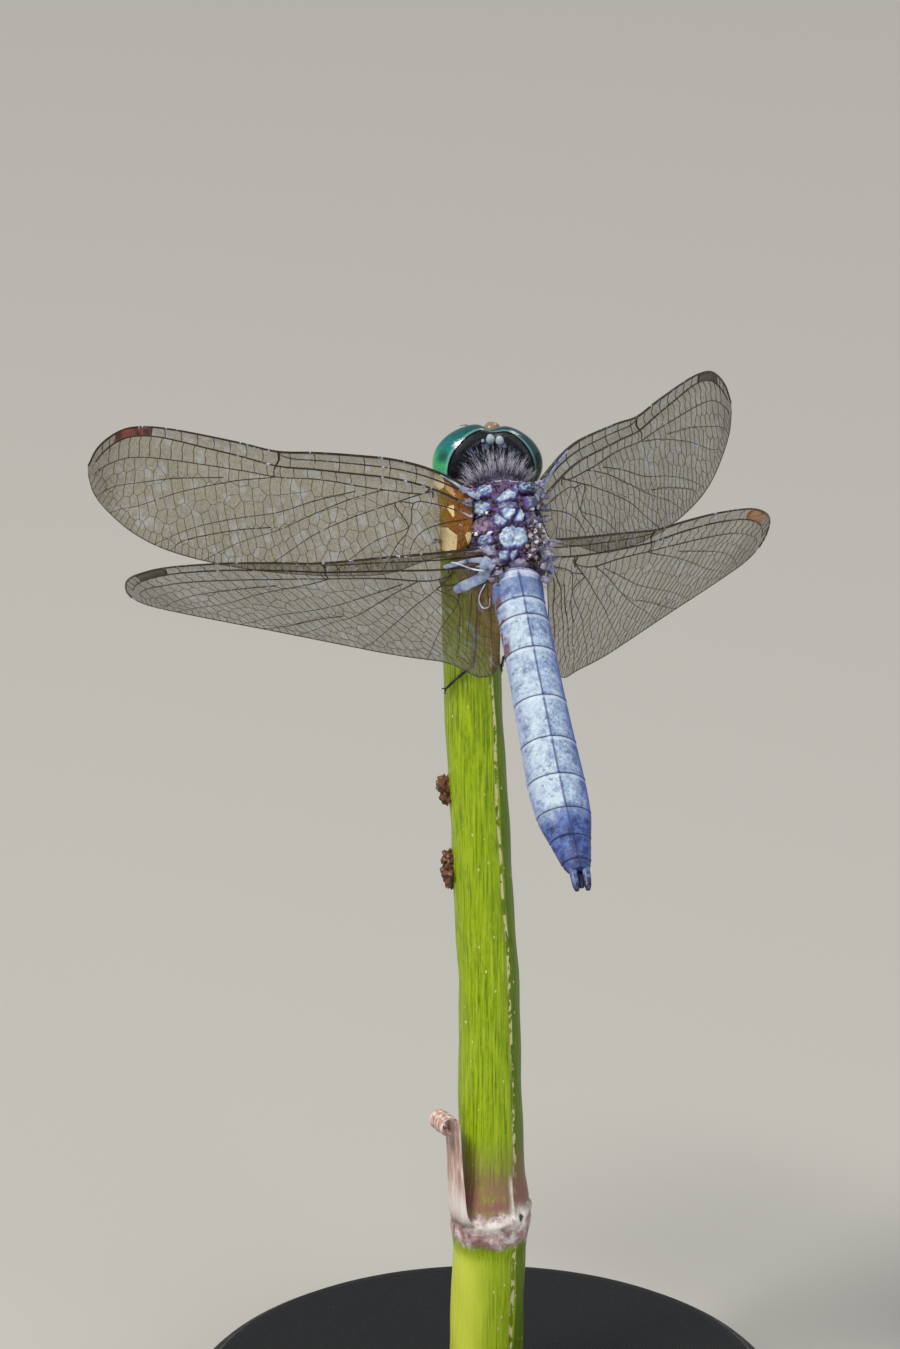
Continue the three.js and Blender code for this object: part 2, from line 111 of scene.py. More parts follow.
def bell(value, width):
    # a smooth bump of height 1 at zero
    return np.exp(-(value / width) ** 2)


def unit(vector):
    # the same way with length 1, for one vector or rows of them
    return vector / np.linalg.norm(vector, axis=-1, keepdims=True)


def readAlong(values, count):
    # values given evenly along a line, read off at a number of even places
    return np.interp(np.linspace(0, 1, count), np.linspace(0, 1, len(values)), values)


def finishPiece(piece, name, place, materials, replaced=()):
    # applies what is left to apply, puts the mesh in its place and joins it to the model
    pickOnly(piece)
    for modifier in list(piece.modifiers):
        bpy.ops.object.modifier_apply(modifier=modifier.name)
    piece.data.transform(place @ piece.matrix_basis)
    piece.matrix_basis = Matrix.Identity(4)
    piece.name = name
    piece.data.name = name
    for material in materials:
        piece.data.materials.append(material)
    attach(piece, "root")
    if replaced:
        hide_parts(*replaced)


def smoothOutside(piece):
    # points every face outward and shades the piece smooth
    editAll(piece)
    bpy.ops.mesh.normals_make_consistent(inside=False)
    bpy.ops.object.mode_set(mode="OBJECT")
    bpy.ops.object.shade_smooth()


def thicken(piece, thickness):
    # turns a sheet into a plate, half to each side
    solid = piece.modifiers.new("sheet", "SOLIDIFY")
    solid.thickness = thickness
    solid.offset = 0


def roundEdges(piece, width, segments, fromAngle=30):
    rounding = piece.modifiers.new("rounding", "BEVEL")
    rounding.width = width
    rounding.segments = segments
    rounding.limit_method = "ANGLE"
    rounding.angle_limit = math.radians(fromAngle)


def joinPieces(pieces):
    clearSelection()
    for piece in pieces:
        piece.select_set(True)
    bpy.context.view_layer.objects.active = pieces[0]
    if len(pieces) > 1:
        bpy.ops.object.join()
    return pieces[0]


def freshGrid(columns, rows):
    # a flat grid, and which row and column each of its vertices belongs to
    clearSelection()
    bpy.ops.mesh.primitive_grid_add(x_subdivisions=columns, y_subdivisions=rows, size=2)
    piece = bpy.context.object
    places = np.zeros(len(piece.data.vertices) * 3)
    piece.data.vertices.foreach_get("co", places)
    places = (places.reshape(-1, 3) + 1) / 2
    return piece, np.rint(places[:, 1] * rows).astype(int), np.rint(places[:, 0] * columns).astype(int)


def rolledTube(rings, marks=None):
    # a grid rolled into a tube through the rings, its seam merged and its ends closed
    rings = np.asarray(rings, float)
    sides = rings.shape[1]
    piece, row, column = freshGrid(sides, len(rings) - 1)
    column %= sides
    piece.data.vertices.foreach_set("co", rings[row, column].ravel())
    for markName, values in (marks or {}).items():
        layer = piece.data.attributes.new(markName, "FLOAT", "POINT")
        layer.data.foreach_set("value", np.broadcast_to(values, rings.shape[:2])[row, column].astype(float))
    editAll(piece)
    bpy.ops.mesh.remove_doubles(threshold=mergeDistance)
    bpy.ops.mesh.select_all(action="DESELECT")
    bpy.ops.mesh.select_mode(type="EDGE")
    bpy.ops.mesh.select_non_manifold(extend=False)
    bpy.ops.mesh.fill_holes(sides=0)
    bpy.ops.mesh.select_mode(type="VERT")
    smoothOutside(piece)
    return piece


def barRings(line, radii, sides, flat=1.0, up=(0, 0, 1)):
    # round or flattened rings square to a line
    line = np.asarray(line, float)
    along = unit(np.gradient(line, axis=0))
    across = unit(np.cross(along, np.array(up, float)))
    over = np.cross(across, along)
    turn = np.linspace(0, 2 * math.pi, sides, endpoint=False)
    radii = np.broadcast_to(np.asarray(radii, float), (len(line),))
    return (line[:, None, :]
            + (radii[:, None] * np.cos(turn))[:, :, None] * across[:, None, :]
            + (radii[:, None] * flat * np.sin(turn))[:, :, None] * over[:, None, :])


def linesToMesh(lines, roundness=0):
    # thin round bars along many lines, made from one bevelled curve
    curve = bpy.data.curves.new("lines", "CURVE")
    curve.dimensions = "3D"
    curve.bevel_depth = 1.0
    curve.bevel_resolution = roundness
    curve.use_fill_caps = True
    for points, radii in lines:
        spline = curve.splines.new("POLY")
        spline.points.add(len(points) - 1)
        flat = np.column_stack([np.asarray(points, float), np.ones(len(points))])
        spline.points.foreach_set("co", flat.ravel())
        spline.points.foreach_set("radius", np.zeros(len(points)) + radii)
    piece = bpy.data.objects.new("lines", curve)
    bpy.context.scene.collection.objects.link(piece)
    pickOnly(piece)
    bpy.ops.object.convert(target="MESH")
    return bpy.context.object


# material tools

def paint(color):
    # a colour given as it looks on screen, turned to what the shader takes
    return (*(((c + 0.055) / 1.055) ** 2.4 if c > 0.04045 else c / 12.92 for c in color), 1)


class NodeKit:
    # adds nodes to a shader tree; each tool gives back the socket it made
    def __init__(self, tree):
        self.tree = tree

    def join(self, socket, value):
        # feeds a socket from another socket or sets its plain value
        if isinstance(value, bpy.types.NodeSocket):
            self.tree.links.new(value, socket)
        else:
            socket.default_value = value

    def put(self, kind, inputs=None, **settings):
        node = self.tree.nodes.new("ShaderNode" + kind)
        for key, value in settings.items():
            setattr(node, key, value)
        for key, value in (inputs or {}).items():
            self.join(node.inputs[key], value)
        return node

    def math(self, operation, *values):
        return self.put("Math", dict(enumerate(values)), operation=operation).outputs[0]

    def times(self, first, second):
        return self.math("MULTIPLY", first, second)

    def plus(self, first, second):
        return self.math("ADD", first, second)

    def minus(self, first, second):
        return self.math("SUBTRACT", first, second)

    def mix(self, base, coat, share, strength=1.0):
        # lays a coat over a base colour by the share a mask gives it
        if strength != 1.0:
            share = self.times(share, strength)
        base, coat = (paint(c) if isinstance(c, tuple) else c for c in (base, coat))
        return self.put("Mix", {0: share, 6: base, 7: coat}, data_type="RGBA").outputs[2]

    def tint(self, base, coat, value, low, high, strength=1.0):
        # lays a coat on as a value runs from low to high
        return self.mix(base, coat, self.spread(value, low, high, 0.0, strength))

    def spread(self, value, low, high, toLow=0.0, toHigh=1.0):
        # eases a value's run from low to high into another run
        return self.put("MapRange", {0: value, 1: low, 2: high, 3: toLow, 4: toHigh},
                        interpolation_type="SMOOTHSTEP").outputs[0]

    def ramp(self, factor, stops):
        node = self.put("ValToRGB", {0: factor})
        band = node.color_ramp
        while len(band.elements) < len(stops):
            band.elements.new(0.5)
        for element, (position, color) in zip(band.elements, stops):
            element.position = position
            element.color = paint(color)
        return node.outputs[0]

    def axis(self, vector, index):
        return self.put("SeparateXYZ", {0: vector}).outputs[index]

    def stretch(self, vector, scale):
        return self.put("Mapping", {"Vector": vector, "Scale": scale}).outputs[0]

    def cloud(self, vector, scale, detail=2.0, roughness=0.5):
        return self.put("TexNoise", {"Vector": vector, "Scale": scale, "Detail": detail,
                                     "Roughness": roughness}).outputs[0]

    def cells(self, vector, scale, output, feature="F1"):
        return self.put("TexVoronoi", {"Vector": vector, "Scale": scale}, feature=feature).outputs[output]

    def mark(self, name):
        return self.put("Attribute", attribute_name=name).outputs["Fac"]

    def place(self, place):
        # the piece's own millimetres, worked out from Object coordinates
        location, turn, scale = place.inverted().decompose()
        coordinates = self.put("TexCoord").outputs["Object"]
        return self.put("Mapping", {"Vector": coordinates, "Location": location,
                                    "Rotation": turn.to_euler("XYZ"), "Scale": scale}).outputs[0]

    def bloom(self, vector, cloud=1.2, speck=14.0, wear=0.35):
        return self.put("Group", {"Vector": vector, "Cloud Scale": cloud, "Speck Scale": speck, "Wear": wear},
                        node_tree=waxyBloom).outputs[:2]

    def grain(self, vector, scale=8.0, stretch=(1, 1, 1)):
        return self.put("Group", {"Vector": vector, "Scale": scale, "Stretch": stretch},
                        node_tree=fineGrain).outputs[:2]


class Surface(NodeKit):
    # a new material with its principled shader
    def __init__(self, name, **sockets):
        self.material = bpy.data.materials.new(name)
        self.material.use_nodes = True
        super().__init__(self.material.node_tree)
        self.shader = self.tree.nodes["Principled BSDF"]
        for key, value in sockets.items():
            self.feed(key, value)

    def feed(self, socket, value):
        self.join(self.shader.inputs[socket], value)

    def finish(self, color, height, strength, distance):
        # sets the colour and the relief (its distance in mm), and gives back the material
        self.feed("Base Color", color)
        relief = self.put("Bump", {"Strength": strength, "Distance": distance * mm, "Height": height})
        self.feed("Normal", relief.outputs[0])
        return self.material


def startGroup(name, inputs, outputs):
    # a shared effect: its kit, what it is given and where its two results go
    kit = NodeKit(bpy.data.node_groups.new(name, "ShaderNodeTree"))
    for socketName, kind, value in inputs:
        socket = kit.tree.interface.new_socket(socketName, in_out="INPUT", socket_type="NodeSocket" + kind)
        if value is not None:
            socket.default_value = value
    for socketName in outputs:
        kit.tree.interface.new_socket(socketName, in_out="OUTPUT", socket_type="NodeSocketFloat")
    given = kit.tree.nodes.new("NodeGroupInput").outputs
    return kit, given, kit.tree.nodes.new("NodeGroupOutput").inputs


def makeBloomGroup():
    # the waxy blue-white bloom: a cloudy mask with fine worn specks, and its slight thickness
    kit, given, out = startGroup(
        "waxyBloom",
        [("Vector", "Vector", None), ("Cloud Scale", "Float", 1.2), ("Speck Scale", "Float", 14.0),
         ("Wear", "Float", 0.35)],
        ["Mask", "Height"])
    cloud = kit.cloud(given["Vector"], given["Cloud Scale"], 4.0, 0.6)
    speck = kit.cloud(given["Vector"], given["Speck Scale"], 3.0, 0.7)
    mask = kit.spread(kit.plus(kit.times(cloud, 0.65), kit.times(speck, 0.35)), given["Wear"], 0.62)
    kit.join(out["Mask"], mask)
    kit.join(out["Height"], kit.times(mask, speck))
    return kit.tree


def makeGrainGroup():
    # fine pitting and wrinkles that give every hard surface some tooth
    kit, given, out = startGroup(
        "fineGrain",
        [("Vector", "Vector", None), ("Scale", "Float", 8.0), ("Stretch", "Vector", (1, 1, 1))],
        ["Mottle", "Height"])
    stretched = kit.put("VectorMath", {0: given["Vector"], 1: given["Stretch"]},
                        operation="MULTIPLY").outputs[0]
    fine = kit.cloud(stretched, given["Scale"], 5.0, 0.65)
    pits = kit.cells(stretched, given["Scale"], 0, "SMOOTH_F1")
    kit.join(out["Mottle"], fine)
    kit.join(out["Height"], kit.plus(fine, kit.times(pits, 0.5)))
    return kit.tree


waxyBloom = makeBloomGroup()
fineGrain = makeGrainGroup()


# stage, lights and camera

stagePlan = {
    "floorRadius": 9.0,
    "floorColor": (0.80, 0.79, 0.76),
    "skyColor": (0.86, 0.88, 0.90),
    "skyStrength": 0.3,
    "lights": {   # where each lamp stands (mm in the row frame), its width, power in watts and colour
        "keyLight": ((-370, -190, 690), 210, 4.6, (1.0, 0.97, 0.92)),
        "fillLight": ((300, -620, 260), 420, 1.3, (0.86, 0.92, 1.0)),
        "rimLight": ((420, 420, 520), 240, 0.6, (1.0, 0.98, 0.95)),
    },
}
cameraPlan = {
    "azimuth": -10.5,
    "elevation": 24.0,
    "distance": 900.0,
    "target": (-4.0, -10.06, 55.97),
    "lens": 410.6,
}


def makeStage():
    clearSelection()
    bpy.ops.mesh.primitive_circle_add(vertices=96, radius=stagePlan["floorRadius"], fill_type="NGON")
    floor = bpy.context.object
    floor.name = "floor"
    kit = Surface("paleFloor", Roughness=0.9)
    spot = kit.put("TexCoord").outputs["Object"]
    base = stagePlan["floorColor"]
    kit.feed("Base Color", kit.mix(base, tuple(c * 0.985 for c in base), kit.cloud(spot, 3.0)))
    floor.data.materials.append(kit.material)

    world = bpy.data.worlds.new("studio")
    bpy.context.scene.world = world
    world.use_nodes = True
    background = world.node_tree.nodes["Background"]
    background.inputs["Color"].default_value = paint(stagePlan["skyColor"])
    background.inputs["Strength"].default_value = stagePlan["skyStrength"]
    bpy.context.scene.view_settings.view_transform = "Standard"

    aim = Vector(bodyPlan["centre"]) * mm
    for name, (place, width, power, color) in stagePlan["lights"].items():
        lamp = bpy.data.lights.new(name, "AREA")
        lamp.shape = "DISK"
        lamp.size = width * mm
        lamp.energy = power
        lamp.color = color
        light = bpy.data.objects.new(name, lamp)
        light.location = Vector(place) * mm
        light.rotation_euler = (aim - light.location).to_track_quat("-Z", "Y").to_euler()
        bpy.context.scene.collection.objects.link(light)


def makeCamera():
    azimuth = math.radians(cameraPlan["azimuth"])
    elevation = math.radians(cameraPlan["elevation"])
    back = Vector((math.sin(azimuth) * math.cos(elevation),
                   -math.cos(azimuth) * math.cos(elevation), math.sin(elevation)))
    camera = bpy.data.objects.new("camera", bpy.data.cameras.new("camera"))
    camera.data.lens = cameraPlan["lens"]
    camera.data.clip_start = 0.05
    camera.data.clip_end = 30
    camera.location = (Vector(cameraPlan["target"]) + back * cameraPlan["distance"]) * mm
    camera.rotation_euler = (-back).to_track_quat("-Z", "Y").to_euler()
    bpy.context.scene.collection.objects.link(camera)
    bpy.context.scene.camera = camera


makeStage()
makeCamera()
print("stage, lights and camera are set")


# wings

wingLook = {
    "pleat": 0.09,            # how deep the folds along the front edge are
    "membrane": 0.03,
    "skinGrid": (150, 30),
    "costa": 0.09,            # vein radii
    "mainVein": 0.05,
    "crossVein": 0.018,
    "stigmaGrid": (20, 5),
    "stigmaThickness": 0.13,
    "stigmaRim": 0.045,
    "nearCell": 1.02,         # cell width by the main veins and by the rear margin
    "marginCell": 0.6,
    "cellTries": 6000,
    "turnLength": 9.0,        # how far out the chord's way goes on turning
}
margin = 99                   # a vein's last point that lies on the rear margin

foreWing = {
    "lead": [(0, 0), (3.2, -0.6), (6, -0.75), (9, -0.55), (12.5, -0.2), (15.6, 0.19), (19, 0.12), (24, 0.14),
             (26.8, 0.38), (28.6, 0.95), (30.2, 2.1), (31, 3.4)],
    "trail": [(0, 1.2), (1.2, 3.1), (3.6, 4.9), (6.8, 6.2), (11.2, 7), (16, 7.5), (20.2, 7.65), (24.2, 7.45),
              (27, 6.85), (29.2, 5.85), (30.4, 4.95), (30.95, 3.9)],
    "nodus": 15.6,
    "stigma": (25.8, 28.8),
    # veins as (along the span, behind the front edge)
    "subcosta": [(0.3, 0.5), (5, 0.58), (10, 0.52), (14.3, 0.4), (15.6, 0.08)],
    "radius": [(0.3, 1.05), (5, 1.12), (10, 1.08), (15.6, 0.88), (22, 0.74), (25.6, 0.58), (28.8, 0.54),
               (30.4, 0.7)],
    "sector": [(3.2, 1.12), (4.4, 1.75), (7.6, 1.9), (12, 1.62), (15.8, 1.55), (20, 1.72), (25, 1.86),
               (28.4, 1.75), (30.5, 1.4)],
    "branches": [
        [(15.8, 1.55), (19, 2.35), (23, 3.55), (26.6, 4.75), (29.0, margin)],
        [(20.0, 2.3), (24, 2.95), (27.2, 3.4), (30.2, margin)],
        [(9.3, 2.15), (13, 3.0), (18, 4.35), (22, 5.6), (25.3, margin)],
        [(7.0, 1.9), (10, 2.75), (14, 4.2), (18, 5.75), (21.3, margin)],
        [(16.0, 4.6), (19, 5.35), (22.8, 6.5), (24.0, margin)],
        [(3.2, 1.3), (6.2, 2.6), (10, 3.9), (13.5, 5.4), (16.8, margin)],
        [(0.3, 1.7), (3.0, 2.0), (4.6, 2.35), (5.1, 3.9), (8, 5.2), (11.2, margin)],
        [(4.6, 2.35), (6.1, 2.62), (5.1, 3.9), (6.0, 5.2), (7.2, margin)],
        [(0.4, 2.0), (2.6, 3.1), (4.4, 4.3), (5.2, margin)],
    ],
    "antenodals": 7,
    "postnodals": 7,
}
hindWing = {
    "lead": [(0, 0), (3, 0.15), (7.5, 0.3), (12.6, 0.5), (16, 0.25), (20, 0.05), (24, 0.15), (26.5, 0.7),
             (28.2, 1.55), (29.4, 2.9), (29.8, 4)],
    "trail": [(0.1, 1.6), (0.5, 4.2), (1.2, 6.8), (2.6, 8.3), (4.8, 8.9), (8, 9), (12, 8.8), (16, 8.25),
              (20.5, 7.45), (25, 6.5), (28, 5.6), (29.3, 4.95), (29.75, 4.3)],
    "nodus": 12.6,
    "stigma": (24.5, 27.2),
    "subcosta": [(0.3, 0.5), (5, 0.56), (9, 0.5), (11.7, 0.35), (12.6, 0.08)],
    "radius": [(0.3, 1.05), (4, 1.1), (8, 1.05), (12.6, 0.88), (20, 0.82), (24.5, 0.84), (27.2, 0.8),
               (28.9, 0.75)],
    "sector": [(2.6, 1.1), (3.6, 1.7), (6, 1.95), (10, 1.65), (12.9, 1.55), (17, 1.75), (22, 1.85),
               (26.3, 1.8), (28.8, 1.35)],
    "branches": [
        [(12.9, 1.55), (16, 2.4), (20, 3.55), (24, 4.6), (27.5, margin)],
        [(17.3, 2.3), (21, 2.95), (25, 3.4), (28.4, margin)],
        [(7.5, 2.2), (11, 3.1), (16, 4.6), (20, 5.75), (23.3, margin)],
        [(6, 1.95), (8.5, 2.9), (12, 4.4), (16, 6.1), (19.3, margin)],
        [(14.0, 4.9), (17.5, 6.0), (20.5, 6.9), (21.8, margin)],
        [(2.6, 1.3), (4.6, 2.4), (8, 4.2), (11.5, 6.2), (14.6, margin)],
        [(0.3, 1.6), (2.8, 2.1), (3.3, 3.3), (6.5, 5.7), (9.6, margin)],
        [(2.8, 2.1), (4.7, 2.45), (3.3, 3.3), (4.7, 5.9), (6.2, 7.6), (7.0, margin)],
        [(0.5, 1.9), (1.7, 3.4), (2.9, 5.8), (4.6, 7.7), (6.2, 7.6)],
        [(1.8, 2.7), (3.2, 5.0), (4.9, 7.1)],
        [(0.4, 2.3), (0.9, 4.4), (1.6, 6.4), (2.2, margin)],
    ],
    "antenodals": 5,
    "postnodals": 6,
}
# each wing: its root, the way its span runs, the way its chord runs at the root and past the turning
# length, the twist in degrees from root to tip, and how far its front edge flexes down at the nodus
wingPoses = {
    "fore_wing_left": {"plan": foreWing, "root": (-2.12, 2.1, 1.95), "span": (-0.6, 0.595, -0.535),
                       "chordRoot": (-0.03, -0.69, -0.72), "chordOut": (-0.03, -0.69, -0.72), "twist": -5},
    "fore_wing_right": {"plan": foreWing, "root": (1.92, 2.2, 1.95), "span": (0.53, 0.64, -0.553),
                        "chordRoot": (0.12, -0.73, -0.67), "chordOut": (0.2, -0.74, -0.64), "twist": 11},
    "hind_wing_left": {"plan": hindWing, "root": (-2.12, -2.0, 1.8), "span": (-0.665, 0.42, -0.618),
                       "chordRoot": (0.1, -0.6, -0.79), "chordOut": (0.41, -0.47, -0.78), "twist": 27},
    "hind_wing_right": {"plan": hindWing, "root": (2.12, -1.88, 1.92), "span": (0.635, 0.46, -0.62),
                        "chordRoot": (-0.1, -0.7, -0.71), "chordOut": (-0.2, -0.67, -0.71), "twist": 28},
}


def makeMembraneMaterial(name, amberStrength, amberReach):
    kit = Surface(name, Roughness=0.2)
    kit.feed("IOR", 1.5)
    kit.feed("Thin Film Thickness", 380)
    kit.feed("Thin Film IOR", 1.45)
    plan = kit.put("UVMap", uv_map="wingPlan").outputs[0]
    along = kit.axis(plan, 0)   # share of the span
    spot = kit.place(bodyPlace)
    cloud = kit.cloud(spot, 0.28, 3.0)
    mottle = kit.cloud(spot, 4.5, 4.0, 0.7)
    cellTone = kit.axis(kit.cells(spot, 1.9, "Color"), 0)
    ragged = kit.plus(along, kit.times(kit.minus(cloud, 0.5), 0.1))
    amber = kit.spread(ragged, amberReach * 0.55, amberReach, amberStrength, 0.0)
    smoke = kit.spread(ragged, 0.84, 1.04)
    clear = kit.mix((0.27, 0.22, 0.06), (0.52, 0.46, 0.2), mottle)
    # single paler cells here and there are painted glints
    clear = kit.tint(clear, (0.66, 0.7, 0.76), cellTone, 0.8, 0.9, 0.45)
    warm = kit.mix((0.34, 0.19, 0.05), (0.72, 0.46, 0.14), mottle)
    # a few wide cells in the amber are painted bright as highlights
    wide = kit.axis(kit.cells(spot, 1.25, "Color"), 1)
    warm = kit.tint(warm, (1.0, 0.9, 0.7), wide, 0.72, 0.76, amberStrength ** 2)
    color = kit.mix(clear, (0.3, 0.2, 0.12), smoke)
    color = kit.mix(color, warm, amber)
    # scattered bright cell edges, painted as glints
    paintedGlint = kit.cloud(spot, 3.4, 5.0, 0.85)
    paintedGlint = kit.times(kit.spread(paintedGlint, 0.63, 0.67), kit.spread(cloud, 0.44, 0.54))
    color = kit.mix(color, (0.93, 0.96, 1.0), paintedGlint)
    tint = kit.plus(kit.spread(mottle, 0.3, 0.75, 0.16, 0.34), kit.times(cloud, 0.16))
    tint = kit.plus(tint, kit.times(amber, 0.42))
    tint = kit.plus(tint, kit.times(smoke, 0.14))
    facing = kit.put("LayerWeight", {"Blend": 0.2}).outputs["Facing"]
    tint = kit.plus(tint, kit.times(facing, 0.2))
    tint = kit.plus(tint, kit.times(paintedGlint, 0.35))
    kit.feed("Alpha", kit.math("MINIMUM", tint, 0.9))
    crinkle = kit.cloud(spot, 1.7, 3.0)
    return kit.finish(color, crinkle, 0.6, 0.12)


def makeVeinMaterial():
    kit = Surface("wingVein", Roughness=0.32)
    spot = kit.place(bodyPlace)
    cloud = kit.cloud(spot, 0.45, 3.0)
    speck = kit.cloud(spot, 3.2, 2.0)
    brown = kit.mix((0.07, 0.05, 0.04), (0.24, 0.17, 0.1), cloud)
    glint = kit.times(kit.spread(speck, 0.6, 0.68), kit.spread(cloud, 0.46, 0.6))
    kit.feed("Roughness", kit.spread(speck, 0.3, 0.7, 0.2, 0.45))
    return kit.finish(kit.mix(brown, (0.72, 0.78, 0.88), glint), speck, 0.4, 0.02)


def makeStigmaMaterial(name, dark, light):
    kit = Surface(name, Roughness=0.35)
    spot = kit.place(bodyPlace)
    cloud = kit.cloud(spot, 1.6, 4.0)
    return kit.finish(kit.tint(dark, light, cloud, 0.35, 0.65), cloud, 0.5, 0.05)


# how far the skin of each wing reaches in toward the body at its foot, behind the front edge
wingFeet = {
    "fore_wing_left": [(0.05, 0.0), (0.0, 1.3), (0.0, 2.5), (0.3, 3.5), (1.6, 4.3)],
    "fore": [(-0.5, 0.0), (-0.7, 1.3), (-0.6, 2.5), (0.0, 3.5), (1.6, 4.3)],
    "hind": [(-0.4, 0.0), (-0.6, 1.6), (-0.2, 3.2), (0.3, 4.9), (1.0, 6.6), (2.0, 7.9)],
}


class WingShape:
    # one wing's surface: from (along the span, behind the front edge) to the body frame
    def __init__(self, name):
        pose = wingPoses[name]
        plan = pose["plan"]
        self.plan = plan
        foot = wingFeet.get(name) or wingFeet[name[:4]]
        self.lead = throughPoints([foot[0]] + plan["lead"][1:], 12)
        self.trail = throughPoints(foot[1:] + [p for p in plan["trail"] if p[0] > foot[-1][0] + 0.8], 12)
        self.length = plan["lead"][-1][0]
        self.root = np.array(pose["root"])
        self.span = np.array(pose["span"]) / np.linalg.norm(pose["span"])
        self.chordRoot = np.array(pose["chordRoot"])
        self.chordOut = np.array(pose["chordOut"])
        self.side = math.copysign(1, pose["span"][0])
        self.twist = math.radians(pose["twist"]) * self.side

    def leadAt(self, s):
        return np.interp(s, self.lead[:, 0], self.lead[:, 1])

    def chordAt(self, s):
        return np.interp(s, self.trail[:, 0], self.trail[:, 1]) - self.leadAt(s)

    def fold(self, s, d):
        # the pleats by the front edge, then shallow waves that die out at the margin
        chord = np.maximum(self.chordAt(s), 0.3)
        fade = 1 - smoothStep(s, 0.86 * self.length, self.length)
        front = wingLook["pleat"] * np.cos(2 * math.pi * d / 1.1) * (1 - smoothStep(d, 1.2, 2.2))
        inChord = smoothStep(d, 1.2, 2.5) * (1 - smoothStep(d / chord, 0.75, 1))
        return fade * (front + 0.05 * np.sin(2.6 * d + 0.15 * s) * inChord)

    def at(self, s, d, lift=0.0):
        s = np.asarray(s, float)
        d = np.asarray(d, float)
        turn = smoothStep(s, 0, wingLook["turnLength"])[..., None]
        chord = self.chordRoot * (1 - turn) + self.chordOut * turn
        chord = chord - self.span * (chord @ self.span)[..., None]
        chord = unit(chord)
        angle = (self.twist * s / self.length)[..., None]
        chord = chord * np.cos(angle) + np.cross(self.span, chord) * np.sin(angle)
        normal = np.cross(self.span, chord) * self.side
        height = (self.fold(s, d) + lift)[..., None]
        c = (self.leadAt(s) + d)[..., None]
        return self.root + self.span * s[..., None] + chord * c - normal * height


def veinLine(shape, points, steps=8):
    # a vein drawn smoothly, kept on the wing
    points = [(s, min(d, shape.chordAt(s) - 0.02)) for s, d in points]
    line = throughPoints(points, steps)
    line[:, 1] = np.clip(line[:, 1], 0, shape.chordAt(line[:, 0]))
    return line


def cellLines(shape, veins, seed):
    # the net of cells behind the radial sector: edges half way between evenly strewn seeds
    plan = shape.plan
    sector = veinLine(shape, plan["sector"])
    pick = random.Random(seed)

    def cellSize(s, d):
        share = d / max(shape.chordAt(s), 0.5)
        return wingLook["nearCell"] + (wingLook["marginCell"] - wingLook["nearCell"]) * min(share, 1) ** 1.2

    def frontLimit(s):
        basal = float(np.interp(s, sector[:, 0], sector[:, 1]))
        return basal if s > sector[0, 0] else float(np.interp(s, [0, sector[0, 0]], [1.05, 1.12]))

    def inside(s, d):
        return 0.25 < s < shape.length - 0.05 and frontLimit(s) <= d <= shape.chordAt(s)

    seeds = []

    def strew(s, d, clearance):
        flat = np.array(seeds) if seeds else np.zeros((0, 2))
        if len(flat) and np.min(np.hypot(flat[:, 0] - s, flat[:, 1] - d)) < clearance:
            return
        seeds.append((s, d))

    rear = np.array([(s, shape.chordAt(s)) for s in np.linspace(0.3, shape.length - 0.1, 160)])
    front = np.array([(s, frontLimit(s)) for s in np.linspace(0.3, shape.length - 0.4, 160)])
    for line in [rear, front] + veins:
        steps = np.hypot(*np.diff(line, axis=0).T)
        travelled = np.concatenate([[0], np.cumsum(steps)])
        place = 0.3
        while place < travelled[-1]:
            s = float(np.interp(place, travelled, line[:, 0]))
            d = float(np.interp(place, travelled, line[:, 1]))
            ahead = (float(np.interp(place + 0.1, travelled, line[:, 0])),
                     float(np.interp(place + 0.1, travelled, line[:, 1])))
            run = Vector((ahead[0] - s, ahead[1] - d))
            size = cellSize(s, d)
            place += size * pick.uniform(0.8, 1.05)
            if run.length < 1e-4:
                continue
            off = Vector((-run.y, run.x)).normalized() * size * 0.46
            for sign in (1, -1):
                strew(s + off.x * sign, d + off.y * sign, size * 0.62)
    for _ in range(wingLook["cellTries"]):
        s = pick.uniform(0.3, shape.length)
        d = pick.uniform(0, 9.5)
        if inside(s, d):
            strew(s, d, cellSize(s, d) * 0.86)

    points, _, faces = geometry.delaunay_2d_cdt([Vector(p) for p in seeds], [], [], 0, 1e-6)[:3]
    centres = []
    for face in faces:
        a, b, c = (points[i] for i in face)
        bx, by, cx, cy = b.x - a.x, b.y - a.y, c.x - a.x, c.y - a.y
        cross = 2 * (bx * cy - by * cx) or 1e-9
        ux = (cy * (bx * bx + by * by) - by * (cx * cx + cy * cy)) / cross
        uy = (bx * (cx * cx + cy * cy) - cx * (bx * bx + by * by)) / cross
        centres.append((a.x + ux, a.y + uy))
    shared = {}
    for index, face in enumerate(faces):
        for k in range(3):
            shared.setdefault(frozenset((face[k], face[(k + 1) % 3])), []).append(index)
    mains = np.vstack(veins)
    lines = []
    for pair in shared.values():
        if len(pair) != 2:
            continue
        p, q = (np.array(centres[i]) for i in pair)
        pIn, qIn = inside(*p), inside(*q)
        if not pIn and not qIn or np.hypot(*(p - q)) < 0.04:
            continue
        if pIn != qIn:
            good, bad = (p, q) if pIn else (q, p)
            for _ in range(14):
                middle = (good + bad) / 2
                good, bad = (middle, bad) if inside(*middle) else (good, middle)
            p, q = (p, good) if pIn else (good, q)
        near = [np.min(np.hypot(mains[:, 0] - e[0], mains[:, 1] - e[1])) for e in (p, (p + q) / 2, q)]
        if max(near) < 0.16:
            continue
        lines.append((p, q))
    return lines


